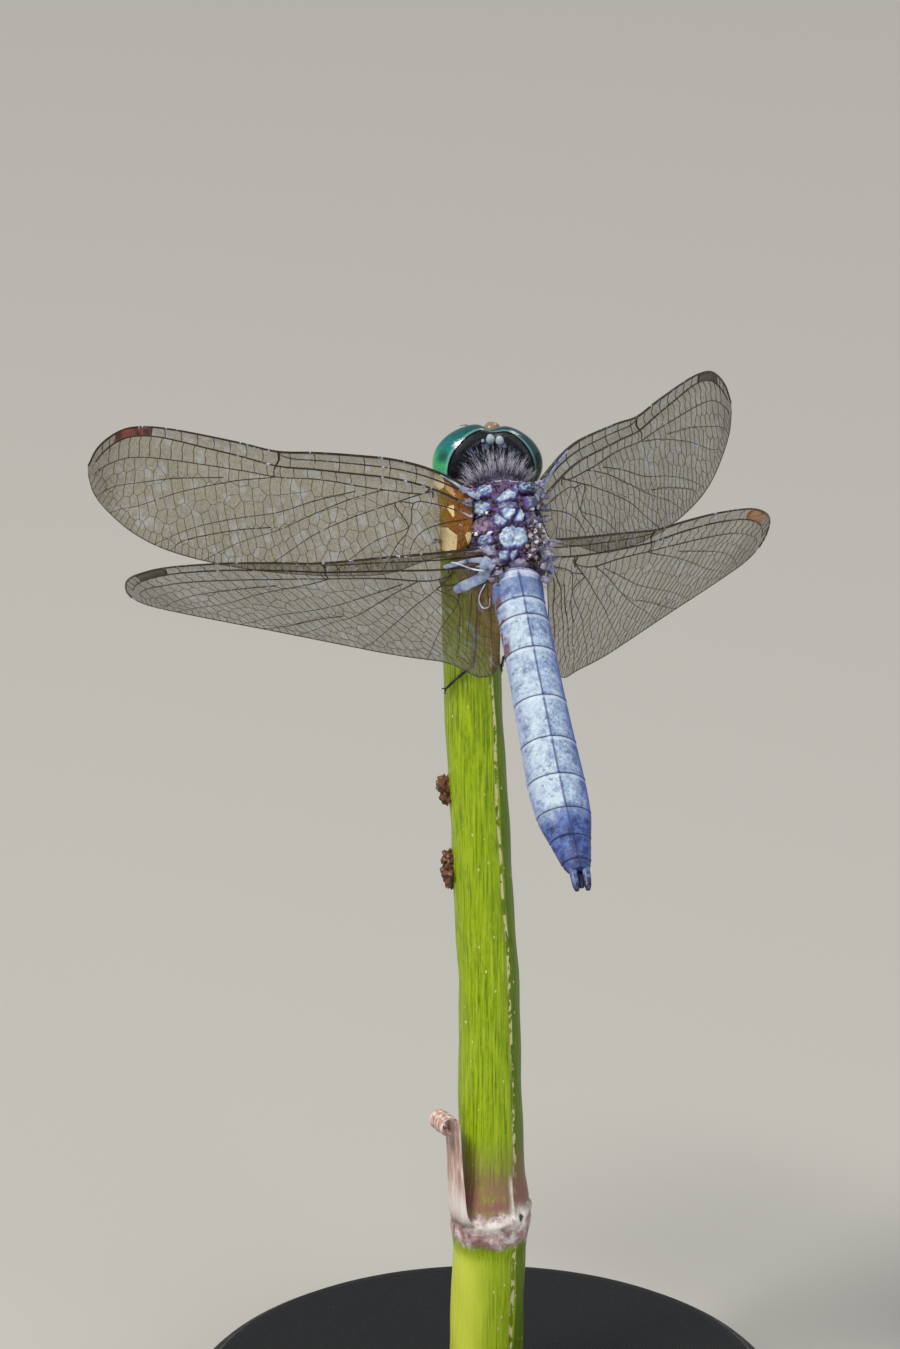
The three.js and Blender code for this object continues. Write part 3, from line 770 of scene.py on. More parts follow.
def makeMembrane(name, shape, material):
    # the clear skin of the wing, a thin closed sheet
    columns, rows = wingLook["skinGrid"]
    skin, row, column = freshGrid(columns, rows)
    leads, trails = (np.column_stack([readAlong(edge[:, k], columns + 1) for k in (0, 1)])
                     for edge in (shape.lead, shape.trail))
    across = (np.arange(rows + 1) / rows) ** 1.35
    flat = leads[column] + (trails[column] - leads[column]) * across[row][:, None]
    s, d = flat[:, 0], np.maximum(flat[:, 1] - shape.leadAt(flat[:, 0]), 0)
    skin.data.vertices.foreach_set("co", shape.at(s, d).ravel())
    plane = skin.data.uv_layers[0]
    plane.name = "wingPlan"
    loopVertex = np.zeros(len(skin.data.loops), int)
    skin.data.loops.foreach_get("vertex_index", loopVertex)
    plane.data.foreach_set("uv", np.column_stack([s / shape.length, d / 10])[loopVertex].ravel())
    thicken(skin, wingLook["membrane"])
    pickOnly(skin)
    bpy.ops.object.modifier_apply(modifier="sheet")
    bpy.ops.object.shade_smooth()
    finishPiece(skin, name + "_membrane", bodyPlace, [material], [name])


def depthAlong(line, s):
    # how far behind the front edge a vein lies at a place along the span
    return float(np.interp(s, line[:, 0], line[:, 1]))


def makeVeins(name, shape, radius, material):
    # the long veins first, then ladders of cross-veins, then the net of cells
    plan = shape.plan
    main, fine, costa = (wingLook[vein] for vein in ("mainVein", "crossVein", "costa"))
    lines = []

    def draw(flatLine, startRadius, endRadius, steps=None):
        flatLine = np.asarray(flatLine, float)
        if steps:
            pick = np.linspace(0, 1, steps + 1)
            flatLine = flatLine[0] + (flatLine[-1] - flatLine[0]) * pick[:, None]
        radii = np.linspace(startRadius, endRadius, len(flatLine))
        lines.append((shape.at(flatLine[:, 0], flatLine[:, 1]), radii))

    stations = np.append(np.linspace(0, shape.length - 1.5, 60),
                         np.linspace(shape.length - 1.4, shape.length - 0.02, 16))
    draw(np.column_stack([stations, 0 * stations]), costa * 1.25, costa * 0.6)
    rearEdge = np.column_stack([shape.trail[:, 0], shape.trail[:, 1] - shape.leadAt(shape.trail[:, 0])])
    draw(rearEdge, fine * 1.5, fine * 1.6)
    subcosta, sector = (veinLine(shape, plan[vein]) for vein in ("subcosta", "sector"))
    draw(subcosta, main * 1.2, main * 0.8)
    draw(radius, main * 1.7, main * 0.8)
    draw(sector, main, main * 0.6)
    branches = [veinLine(shape, points) for points in plan["branches"]]
    for line in branches:
        draw(line, main * 0.85, fine * 1.1)

    nodus = plan["nodus"]
    crossing = (nodus + 0.15, depthAlong(radius, nodus))
    draw([(nodus - 0.15, 0), crossing], main * 1.7, main, 5)
    draw([crossing, (nodus + 0.35, depthAlong(sector, nodus))], main, main * 0.8, 4)
    draw([(3.1, 1.1), (3.2, depthAlong(sector, 4.2))], main, main * 0.8, 4)
    for k in range(plan["antenodals"]):
        s = 2.2 + (nodus - 3.2) * (k / (plan["antenodals"] - 1)) ** 0.95
        draw([(s, 0), (s + 0.05, depthAlong(subcosta, s)), (s - 0.02, depthAlong(radius, s))],
             fine * 1.7, fine * 1.4)
    stigmaStart, stigmaEnd = plan["stigma"]
    for k in range(plan["postnodals"]):
        s = nodus + 1.2 + (stigmaStart - nodus - 2.2) * k / (plan["postnodals"] - 1)
        draw([(s, 0), (s + 0.12, depthAlong(radius, s))], fine * 1.5, fine * 1.3, 4)
    s = 4.8
    step = 0
    while s < shape.length - 1.6:
        draw([(s, depthAlong(radius, s)), (s + 0.06, depthAlong(sector, s))], fine * 1.3, fine * 1.2, 3)
        s += 1.25 - 0.02 * step
        step += 1
    s = stigmaEnd + 0.5
    while s < shape.length - 0.6:
        draw([(s, 0), (s + 0.1, depthAlong(radius, s))], fine * 1.3, fine * 1.2, 3)
        s += 0.55
    for p, q in cellLines(shape, branches, len(name) + sum(map(ord, name))):
        draw([p, q], fine, fine, 2)
    net = linesToMesh(lines)
    smoothOutside(net)
    finishPiece(net, name + "_veins", bodyPlace, [material])


def makeStigma(name, shape, radius, material):
    # the thick coloured cell near the tip
    look = wingLook
    stigmaStart, stigmaEnd = shape.plan["stigma"]
    columns, rows = look["stigmaGrid"]
    cell, row, column = freshGrid(columns, rows)
    s = stigmaStart + (stigmaEnd - stigmaStart) * column / columns + 0.25 * row / rows
    d = np.interp(s, radius[:, 0], radius[:, 1]) * (0.06 + 0.9 * row / rows)
    cell.data.vertices.foreach_set("co", shape.at(s, d).ravel())
    thicken(cell, look["stigmaThickness"])
    roundEdges(cell, look["stigmaRim"], 2)
    finishPiece(cell, name + "_pterostigma", bodyPlace, [material])


def makeWings():
    membranes = {
        "fore_wing_left": makeMembraneMaterial("membraneAmber", 1.0, 0.115),
        "hind_wing_left": makeMembraneMaterial("membraneWarm", 0.35, 0.10),
        "fore_wing_right": makeMembraneMaterial("membraneClear", 0.15, 0.06),
    }
    membranes["hind_wing_right"] = membranes["fore_wing_right"]
    vein = makeVeinMaterial()
    redStigma = makeStigmaMaterial("stigmaRed", (0.26, 0.12, 0.10), (0.50, 0.25, 0.22))
    darkStigma = makeStigmaMaterial("stigmaDark", (0.10, 0.06, 0.05), (0.26, 0.18, 0.13))
    tanStigma = makeStigmaMaterial("stigmaTan", (0.34, 0.20, 0.10), (0.74, 0.47, 0.20))
    stigmas = {"fore_wing_left": redStigma, "hind_wing_right": tanStigma}
    shapes = {}
    for name in wingPoses:
        shape = WingShape(name)
        radius = veinLine(shape, shape.plan["radius"])
        makeMembrane(name, shape, membranes[name])
        makeVeins(name, shape, radius, vein)
        makeStigma(name, shape, radius, stigmas.get(name, darkStigma))
        shapes[name] = shape
    return shapes


wingShapes = makeWings()
print("wings are made")


# the body's skin: prothorax, thorax and abdomen in one

# sections: place along the body, half width, top, bottom, aside, and how high the widest line lies
trunkSections = [
    (4.95, 0.42, -0.52, -0.95, -0.27, 0.5),
    (4.6, 0.5, -0.42, -0.98, -0.26, 0.5),
    (4.2, 0.92, -0.1, -1.1, -0.23, 0.4),
    (3.75, 1.38, 0.36, -1.5, -0.2, 0.35),
    (3.42, 1.3, 0.26, -1.75, -0.18, 0.35),
    (3.2, 2.0, 0.9, -1.95, -0.15, 0.45),
    (2.75, 2.46, 1.56, -2.7, -0.15, 0.48),
    (1.9, 2.38, 1.92, -3.26, -0.15, 0.42),
    (0.7, 2.4, 2.05, -3.62, -0.15, 0.35),
    (-0.7, 2.42, 2.0, -3.68, -0.15, 0.35),
    (-1.9, 2.15, 1.68, -3.32, -0.15, 0.35),
    (-2.75, 1.62, 1.12, -2.52, -0.11, 0.35),
    (-3.0, 1.5, 0.84, -1.85, -0.16, 0.38),
]
# the abdomen's joints: place along the body, half width, height over and under the axis, aside, axis
abdomenJoints = [
    (-3.1, 1.6, 1.22, 1.2, -0.2, -0.22),
    (-3.66, 1.56, 1.25, 1.32, -0.17, -0.23),
    (-5.0, 1.46, 1.23, 1.36, -0.12, -0.26),
    (-6.18, 1.48, 1.2, 1.28, -0.1, -0.28),
    (-8.42, 1.5, 1.18, 1.08, -0.07, -0.32),
    (-11.8, 1.55, 1.22, 1.08, -0.03, -0.36),
    (-14.7, 1.63, 1.26, 1.1, 0.0, -0.36),
    (-17.3, 1.7, 1.26, 1.08, 0.03, -0.32),
    (-19.6, 1.6, 1.14, 0.98, 0.1, -0.26),
    (-21.4, 1.2, 0.9, 0.8, 0.2, -0.18),
    (-22.95, 0.84, 0.68, 0.62, 0.3, -0.1),
    (-23.5, 0.62, 0.5, 0.46, 0.35, -0.06),
]
skinLook = {
    "sides": 230,
    "thoraxStep": 0.05,
    "abdomenStep": 0.15,
    "afterJoint": (0, 0.03, 0.06, 0.1, 0.15),
    "beforeJoint": (0.12, 0.06, 0.02),
    "crossRidges": [(-5.28, 0.05, 1.0), (-7.35, 0.045, 0.8)],    # place, width and strength
    "neckGrooves": [(3.42, 0.1, 1.0), (4.12, 0.08, 0.7)],
    "sideSeams": (2.2, 0.75, -0.75, -2.1),
    "abdomenFrom": -3.06,       # the thorax's finish gives way to the abdomen's here
    "jointDepth": 0.085,
    "jointWidth": 0.05,
    "lip": 0.03,
    "backRidge": 0.075,
}
# the plates of the thorax's back: how much pale bloom each carries, whether it is a raised ring, and its
# outline, drawn square to the sloping back: pairs of (across, along) from the thorax centre
backPlates = [
    (1, True, (-1.91, 2.32, -1.84, 2.64, -1.49, 2.82, -1.04, 2.74, -0.99, 2.49, -1.36, 2.18, -1.75,
     2.14)),
    (1, True, (0.49, 2.74, 0.7, 2.96, 1.03, 3, 1.41, 2.78, 1.56, 2.56, 1.29, 2.36, 0.77, 2.44)),
    (1, False, (-2.28, 2.38, -2.04, 2.46, -1.95, 2.25, -2.2, 2.14)),
    (1, False, (-0.85, 1.85, -0.52, 2.25, -0.07, 2.62, 0.08, 2.41, 0.33, 2.27, 0.33, 2.04, 0, 1.95,
     -0.52, 1.79)),
    (0.6, False, (0.13, 2.74, 0.31, 2.82, 0.41, 2.35, 0.24, 2.32)),
    (0.9, False, (-2.44, 1.64, -2.26, 1.85, -1.75, 1.88, -1.22, 1.77, -1.15, 1.44, -1.42, 1.14, -2.01,
     1.08, -2.37, 1.3)),
    (0.6, False, (0.89, 2.09, 1.23, 2.17, 1.76, 2.17, 1.96, 1.64, 1.89, 1.43, 1.49, 1.46, 1.02, 1.56)),
    (0.4, False, (-0.73, 1.69, -0.32, 1.76, 0.27, 1.77, 0.46, 1.5, -0.13, 1.44, -0.65, 1.37)),
    (1, False, (-0.6, 1.32, -0.13, 1.44, 0.33, 1.38, 0.24, 1.11, 0, 0.75, -0.32, 0.86, -0.47, 1.12)),
    (0.95, False, (0.46, 1.22, 0.63, 1.36, 0.76, 0.99, 0.7, 0.69, 0.28, 0.66, 0.34, 0.99)),
    (0.75, False, (-0.89, 0.99, -0.65, 1.17, -0.45, 0.86, -0.18, 0.72, -0.29, 0.49, -0.65, 0.36, -0.89,
     0.6)),
    (0.08, False, (-2.02, 0.09, -2.15, 0.47, -1.88, 0.8, -1.49, 0.93, -0.99, 0.86, -0.86, 0.54, -1.1,
     0.17, -1.62, -0.09)),
    (0.12, False, (0.89, 1.12, 1.29, 1.2, 1.5, 0.86, 1.29, 0.46, 0.96, 0.59)),
    (0.9, True, (1.43, 0.93, 1.68, 1.1, 1.99, 0.93, 1.96, 0.62, 1.68, 0.58)),
    (0.95, False, (-0.6, -0.04, -0.39, 0.23, 0.13, 0.36, 0.66, 0.26, 0.92, -0.04, 0.96, -0.43, 0.72,
     -0.77, 0.26, -0.87, -0.32, -0.93, -0.56, -0.62)),
    (0.95, True, (-1.8, -0.33, -1.62, -0.13, -1.23, -0.09, -1.02, -0.24, -1.09, -0.57, -1.42, -0.71,
     -1.73, -0.6)),
    (0.55, False, (-2.08, -0.95, -1.81, -0.75, -1.15, -0.75, -0.99, -0.95, -1.29, -1.15, -1.89, -1.22)),
    (0.95, False, (-0.66, -1.21, -0.45, -1.03, -0.05, -1.03, -0.02, -1.27, -0.26, -1.61, -0.53, -1.7)),
    (0.7, False, (-0.01, -1.46, 0.13, -1.06, 0.4, -1, 0.4, -1.22, 0.14, -1.61)),
    (1, False, (1.51, -0.82, 1.82, -0.74, 1.89, -1.09, 1.62, -1.29, 1.43, -1.08)),
    (0.9, False, (-1.86, -1.72, -1.68, -1.45, -1.22, -1.39, -0.96, -1.66, -1.02, -2.12, -1.36, -2.51,
     -1.63, -2.11)),
    (0.25, False, (-0.01, -1.8, 0.39, -1.52, 0.79, -1.58, 0.98, -1.87, 0.52, -1.99, 0.05, -1.99)),
    (0.3, False, (1.15, -1.11, 1.36, -1.03, 1.41, -1.41, 1.12, -1.42)),
    (0.4, False, (1.93, 0.09, 2.26, -0.03, 2.4, -0.49, 2.26, -0.57, 1.99, -0.3)),
]
glintPatches = [   # where painted glints, small bronze and white specks, lie between the plates
    (0.9, 0.6, 1.29, 0.47, 1.94, 0.6, 2.46, -0.3, 2.58, -1.21, 1.81, -1.98, 1.29, -1.66, 0.9, -1.21,
     0.97, -0.17),
    (-1.1, -1.98, -0.52, -1.72, -0.13, -1.92, -0.65, -2.5, -1.29, -2.63),
]

plateAcross = np.array((0.983, -0.153, 0.099))
plateAlong = np.array((0.074, 0.833, 0.548))


def sectionAt(y):
    # half width, top, bottom, aside and the height of the widest line at any place along the body
    rows = [list(r) for r in trunkSections]
    for place, half, over, under, aside, axis in abdomenJoints:
        rows.append([place, half, axis + over, axis - under, aside, under / (over + under)])
    rows = np.array(rows)[::-1]
    fine = throughPoints(rows, 8)
    half, top, bottom, aside, share = (np.interp(y, fine[:, 0], fine[:, k]) for k in range(1, 6))
    return half, top, bottom, aside, bottom + (top - bottom) * share


def depthInside(u, v, outline):
    # how far each point lies inside a closed outline, negative outside it
    corners = np.array(outline, float).reshape(-1, 2)
    nearest = np.full(u.shape, 9.0)
    inside = np.zeros(u.shape, bool)
    for (ax, ay), (bx, by) in zip(corners, np.roll(corners, -1, axis=0)):
        dx, dy = bx - ax, by - ay
        share = np.clip(((u - ax) * dx + (v - ay) * dy) / (dx * dx + dy * dy), 0, 1)
        nearest = np.minimum(nearest, np.hypot(u - ax - share * dx, v - ay - share * dy))
        if dy:
            inside ^= ((ay > v) != (by > v)) & (u < ax + (v - ay) * dx / dy)
    return np.where(inside, nearest, -nearest)


def plateRelief(points):
    # how the plates stand up from the back, and masks of their depth inside, bloom, rings and specks
    u = points @ plateAcross
    v = points @ plateAlong
    u = u + 0.03 * np.sin(9.0 * v + 3.0 * u) + 0.02 * np.sin(23.0 * v - 9.0 * u)
    v = v + 0.03 * np.sin(8.0 * u - 4.0 * v) + 0.02 * np.sin(21.0 * u + 8.0 * v)
    depth = np.full(u.shape, -1.0)
    bloom = np.zeros(u.shape)
    ring = np.zeros(u.shape)
    for plateBloom, isRing, outline in backPlates:
        inside = depthInside(u, v, outline)
        bloom = np.where(inside > depth, plateBloom, bloom)
        ring = np.where(inside > depth, isRing * bell(inside - 0.15, 0.04), ring)
        depth = np.maximum(depth, inside)
    glint = np.max([smoothStep(depthInside(u, v, patch), -0.1, 0.1) for patch in glintPatches], axis=0)
    furrow = bell(u - 0.2 - 0.05 * v, 0.07) * smoothStep(depth, 0.05, 0.2) * (np.abs(v + 0.3) < 0.6)
    rise = 0.19 * smoothStep(depth, -0.05, 0.06) + 0.03 * smoothStep(depth, 0.1, 0.35)
    rise = rise - 0.09 * ring - 0.05 * furrow - 0.1 * smoothStep(-depth, 0.0, 0.1)
    rough = np.sin(15 * u + 2 * v) * np.sin(13 * v - 3 * u)
    rough += 0.7 * np.sin(24 * u - 9 * v) * np.sin(21 * v + 8 * u)
    rise = rise + 0.026 * rough
    # three wavy folds arch over the front, behind the collar
    arch = v - 3.3 + 0.12 * (u + 0.3) ** 2 + 0.03 * np.sin(6 * u)
    fold = sum(bell(arch - place, 0.038) for place in (-0.13, 0.0, 0.13)) * (np.abs(u + 0.3) < 2)
    return rise, depth, bloom, np.maximum(ring, 0.6 * furrow), glint, fold


def bodyStations():
    # where the skin's rings lie, closer together at the abdomen's joints
    look = skinLook
    stations = list(np.arange(4.95, abdomenJoints[0][0], -look["thoraxStep"]))
    for front, rear in zip(abdomenJoints, abdomenJoints[1:]):
        length = front[0] - rear[0]
        count = max(int((length - 0.35) / look["abdomenStep"]), 2)
        steps = [*look["afterJoint"], *np.linspace(0.22, length - 0.18, count)]
        steps += [length - t for t in look["beforeJoint"]]
        stations += [front[0] - t for t in steps]
    stations.append(abdomenJoints[-1][0])
    return np.array(stations)


def makeBodySkin(materials):
    look = skinLook
    y = bodyStations()
    half, top, bottom, aside, waist = sectionAt(y)
    # more columns over the back, where the plates are
    even = np.linspace(0, 2 * math.pi, look["sides"], endpoint=False)
    angle = even + 0.42 * np.cos(even)
    rise = np.sin(angle)
    a = angle[None, :]
    yy = np.repeat(y[:, None], look["sides"], axis=1)
    abdomen = smoothStep(-y, 3.05, 3.4)[:, None]
    up = np.maximum(rise, 0)[None, :]
    narrowing = 0.12 - 0.02 * abdomen
    lift = np.where(rise[None, :] > 0, top[:, None] - waist[:, None], waist[:, None] - bottom[:, None])
    z = waist[:, None] + lift * rise[None, :]
    x = aside[:, None] + half[:, None] * np.cos(a) * (1 - narrowing * up)

    # the abdomen's back ridge, side ridges and joints
    ridge = bell(a - math.pi / 2, 0.045) * abdomen
    sideRidge = bell(np.abs(((a - math.pi / 2 + math.pi) % (2 * math.pi)) - math.pi) - 1.95, 0.06)
    joint = np.zeros(len(y))
    paleLine = np.zeros(len(y))
    ring = np.zeros(len(y))
    # the second station only shapes the body and has no joint
    for place in [row[0] for row in abdomenJoints[:1] + abdomenJoints[2:-1]]:
        behind = place - y
        # the front groove of each ring, and the thin raised lip of the ring ahead of it
        joint = np.maximum(joint, bell(np.maximum(behind, -behind * 3), look["jointWidth"]))
        ring = np.maximum(ring, bell(behind + 0.1, 0.06))
        paleLine = np.maximum(paleLine, bell(behind - 0.19, 0.055))
    cross = sum(strength * bell(y - place, width) for place, width, strength in look["crossRidges"])
    crossPlace = cross[:, None] * smoothStep(rise, 0.05, 0.3)[None, :]
    outward = (-look["jointDepth"] * joint + look["lip"] * ring)[:, None] * np.ones_like(x)
    outward += look["backRidge"] * ridge + 0.05 * sideRidge * abdomen + 0.05 * crossPlace * abdomen
    belly = smoothStep(-rise, 0.25, 0.6)[None, :] * abdomen
    outward -= 0.09 * bell(np.abs(np.cos(a)) - 0.62, 0.08) * belly

    # the thorax: plates over the back, slanting side seams below the wings, a soft neck
    onBack = smoothStep(rise, 0.02, 0.2)[None, :] * within(yy, -3.0, -2.9, 3.2, 3.35)
    plateRise, plateDepth, plateBloom, plateRing, glint, fold = plateRelief(np.stack([x, yy, z], -1))
    outward += onBack * (plateRise + 0.05 * fold)
    seam = np.zeros_like(x)
    side = (1 - smoothStep(rise, 0.05, 0.35))[None, :] * (1 - abdomen)
    for start in look["sideSeams"]:
        slant = yy - start + 0.32 * (z - 0.5)
        seam = np.maximum(seam, bell(slant, 0.07))
    frontSeam = bell(x + 0.15, 0.06) * smoothStep(y, 2.3, 2.6)[:, None] * (rise > 0)[None, :]
    seam = seam * side * (1 - smoothStep(y, 3.0, 3.3))[:, None]
    outward -= 0.07 * seam + 0.05 * frontSeam
    collar = sum(strength * bell(y - place, width) for place, width, strength in look["neckGrooves"])
    outward -= 0.1 * collar[:, None]
    wrinkle = np.sin(yy * 46) * smoothStep(y, 4.3, 4.5)[:, None] * 0.03
    outward += wrinkle

    # push along the section's own outward direction
    outX = np.cos(a) / np.maximum(half[:, None], 0.2)
    outZ = rise[None, :] / np.maximum(lift, 0.2)
    size = np.hypot(outX, outZ)
    rings = np.stack([x + outward * outX / size, yy, z + outward * outZ / size], axis=2)

    marks = {
        "joint": (joint * smoothStep(-y, 3.0, 3.15))[:, None],
        "paleLine": paleLine[:, None] * abdomen * (1 - smoothStep(-y, 17.0, 19.0))[:, None],
        "ridge": ridge,
        "crossRidge": crossPlace * abdomen,
        "onBack": onBack,
        "plateDepth": np.clip(plateDepth, -0.5, 0.5) + 0.5,
        "plateBloom": plateBloom,
        "plateRing": plateRing,
        "glint": glint * onBack,
        "fold": fold,
        "seam": np.clip(seam + frontSeam, 0, 1),
        "around": np.sin(a),
        "sideways": np.cos(a),
    }
    skin = rolledTube(rings, marks)
    plane = skin.data.uv_layers[0]
    plane.name = "skinPlan"
    nodes = ["prothorax", "thorax"] + [f"abdomen_s{k}" for k in range(1, 11)]
    finishPiece(skin, "body_skin", bodyPlace, materials, nodes)
    # the thorax takes the first finish, the abdomen the second
    toBody = bodyPlace.inverted()
    for face in skin.data.polygons:
        face.material_index = int((toBody @ face.center).y < look["abdomenFrom"])


def makeThoraxMaterial():
    kit = Surface("thoraxBloom", Roughness=0.55)
    spot = kit.place(bodyPlace)
    bloom, wax = kit.bloom(spot, 3.4, 16.0, 0.4)
    grain, tooth = kit.grain(spot, 9.0)
    around = kit.mark("around")
    depth = kit.mark("plateDepth")
    # sides: dusty grey-lilac, darker at the seams, a brown cast low down
    cloud = kit.cloud(spot, 0.9, 4.0)
    side = kit.tint((0.33, 0.27, 0.33), (0.6, 0.58, 0.72), cloud, 0.35, 0.65)
    side = kit.mix(side, (0.72, 0.76, 0.88), bloom, 0.55)
    side = kit.tint(side, (0.3, 0.22, 0.18), around, -0.2, -0.9, 0.6)
    # back: near-black gaps with violet threads, violet-blue rims, and pale bloom on the plates
    pits = kit.cloud(spot, 2.6, 4.0, 0.7)
    gap = kit.tint((0.04, 0.02, 0.06), (0.46, 0.34, 0.54), pits, 0.44, 0.6)
    rim = kit.mix((0.2, 0.15, 0.4), (0.5, 0.42, 0.74), grain)
    patchy = kit.spread(pits, 0.38, 0.62, 0.0, 0.4)
    tone = kit.plus(kit.times(bloom, 0.4), kit.spread(depth, 0.5, 0.62, 0.02, 0.3))
    tone = kit.plus(tone, patchy)
    pale = kit.ramp(tone,
                    [(0.05, (0.28, 0.31, 0.58)), (0.35, (0.47, 0.56, 0.76)), (0.65, (0.66, 0.76, 0.86)),
                     (0.95, (0.93, 0.97, 1.0))])
    bare = kit.tint((0.22, 0.12, 0.22), (0.64, 0.5, 0.64), pits, 0.4, 0.64)
    plate = kit.mix(bare, pale, kit.mark("plateBloom"))
    back = kit.tint(gap, rim, depth, 0.43, 0.48)
    back = kit.tint(back, plate, depth, 0.48, 0.53)
    back = kit.mix(back, (0.16, 0.16, 0.46), kit.mark("plateRing"), 0.85)
    # painted glints: bronze and white specks between the plates
    glintNoise = kit.cloud(spot, 3.5, 3.0, 0.65)
    shine = kit.tint((0.06, 0.03, 0.07), (0.58, 0.4, 0.46), glintNoise, 0.46, 0.52)
    shine = kit.tint(shine, (1.0, 0.97, 0.98), glintNoise, 0.54, 0.58)
    thin = kit.times(kit.mark("glint"), kit.spread(depth, 0.45, 0.62, 1.0, 0.25))
    back = kit.mix(back, shine, thin)
    color = kit.mix(side, back, kit.mark("onBack"))
    # the wavy lilac folds behind the head
    fold = kit.mark("fold")
    fringe = kit.put("VectorMath", {0: spot, 1: tuple(plateAlong)},
                     operation="DOT_PRODUCT").outputs["Value"]
    lilac = kit.tint((0.34, 0.27, 0.4), (0.84, 0.8, 0.92), fold, 0.1, 0.7)
    color = kit.tint(color, lilac, fringe, 2.92, 3.1)
    color = kit.mix(color, (0.05, 0.04, 0.08), kit.mark("seam"), 0.8)
    rough = kit.minus(kit.spread(bloom, 0, 1, 0.42, 0.66), kit.times(thin, 0.3))
    kit.feed("Roughness", rough)
    return kit.finish(color, kit.plus(tooth, wax), 0.7, 0.06)


def makeAbdomenMaterial():
    kit = Surface("abdomenBloom", Roughness=0.6)
    spot = kit.place(bodyPlace)
    along = kit.axis(spot, 1)
    bloom = kit.bloom(spot, 1.3, 9.0, 0.38)[0]
    fine = kit.bloom(spot, 3.5, 22.0, 0.4)[0]
    tooth = kit.grain(spot, 12.0, (1.0, 0.6, 1.0))[1]
    around = kit.mark("around")
    sideways = kit.mark("sideways")
    mottle = kit.cloud(spot, 1.15, 5.0, 0.65)
    blue = kit.tint((0.28, 0.4, 0.62), (0.54, 0.66, 0.82), mottle, 0.36, 0.62)
    blue = kit.mix(blue, (0.78, 0.86, 0.93), bloom, 0.8)
    blue = kit.mix(blue, (0.9, 0.94, 1.0), fine, 0.25)
    fleck = kit.cloud(spot, 4.2, 6.0, 0.8)
    blue = kit.tint(blue, (0.33, 0.44, 0.62), fleck, 0.5, 0.62, 0.55)
    blue = kit.tint(blue, (0.92, 0.97, 1.0), fleck, 0.46, 0.36, 0.5)
    # the first ring has a pale front band, and is steel blue behind it
    blue = kit.mix(blue, (0.84, 0.82, 0.92),
                   kit.times(kit.spread(along, -3.72, -3.62, 0.0, 0.8), kit.spread(mottle, 0.4, 0.6)))
    steel = kit.times(kit.spread(along, -3.62, -3.7), kit.spread(along, -5.0, -4.6))
    blue = kit.mix(blue, (0.34, 0.42, 0.64), steel, 0.6)
    # the left half of the back is painted lighter than the right, as painted light from the left
    paintedLeftLight = kit.times(kit.spread(sideways, 0.06, -0.1), kit.spread(along, -5.0, -6.2))
    paintedLeftLight = kit.times(paintedLeftLight, kit.spread(mottle, 0.34, 0.54, 0.08, 0.42))
    blue = kit.mix(blue, (0.9, 0.96, 0.97), paintedLeftLight)
    # worn smudges show the darker shell
    smudge = kit.cloud(spot, 1.9, 6.0, 0.75)
    blue = kit.tint(blue, (0.27, 0.33, 0.56), smudge, 0.53, 0.66, 0.8)
    # the flanks turn a deep clear blue, deepest on the right as painted shade, and the belly is dark
    flank = kit.spread(around, 0.1, 0.86, 1.0, 0.0)
    shadedRightSide = kit.spread(sideways, -0.8, 0.4, 0.3, 1.0)
    flank = kit.times(flank, shadedRightSide)
    blue = kit.mix(blue, (0.13, 0.29, 0.74), flank, 0.9)
    blue = kit.tint(blue, (0.16, 0.16, 0.24), around, -0.32, -0.62)
    # the first rings keep reddish-brown flank spots, and the last rings are slate and purple
    spots = kit.cloud(spot, 1.3, 2.0)
    early = kit.times(kit.spread(along, -9.2, -8.2), kit.spread(around, 0.35, 0.7, 1.0, 0.0))
    early = kit.times(early, kit.spread(spots, 0.44, 0.56))
    early = kit.times(early, kit.spread(sideways, -0.2, -0.6))
    blue = kit.mix(blue, (0.42, 0.2, 0.2), early, 0.85)
    ragged = kit.plus(along, kit.times(kit.minus(mottle, 0.5), 2.6))
    late = kit.spread(ragged, -20.6, -18.9, 1.0, 0.0)
    slate = kit.tint((0.16, 0.21, 0.42), (0.36, 0.47, 0.74), smudge, 0.38, 0.62)
    slate = kit.tint(slate, (0.16, 0.14, 0.28), along, -22.0, -23.3, 0.4)
    color = kit.mix(blue, slate, late)
    # lines: the dark ridge along the back, the joints and the cross ridges, each with a pale edge
    ridge = kit.times(kit.spread(kit.mark("ridge"), 0.25, 0.8), 0.72)
    color = kit.mix(color, (0.2, 0.25, 0.45), ridge)
    pale = kit.times(kit.mark("paleLine"), kit.spread(around, 0.0, 0.3, 0.0, 0.7))
    color = kit.mix(color, (0.9, 0.94, 1.0), pale)
    lines = kit.math("MAXIMUM", kit.spread(kit.mark("joint"), 0.2, 0.6),
                     kit.times(kit.spread(kit.mark("crossRidge"), 0.4, 0.9), 0.7))
    color = kit.mix(color, (0.13, 0.14, 0.28), lines, 0.88)
    kit.feed("Roughness", kit.spread(bloom, 0, 1, 0.42, 0.68))
    return kit.finish(color, kit.plus(tooth, kit.times(smudge, 1.2)), 0.55, 0.06)


makeBodySkin([makeThoraxMaterial(), makeAbdomenMaterial()])
print("the body's skin is made")


# head

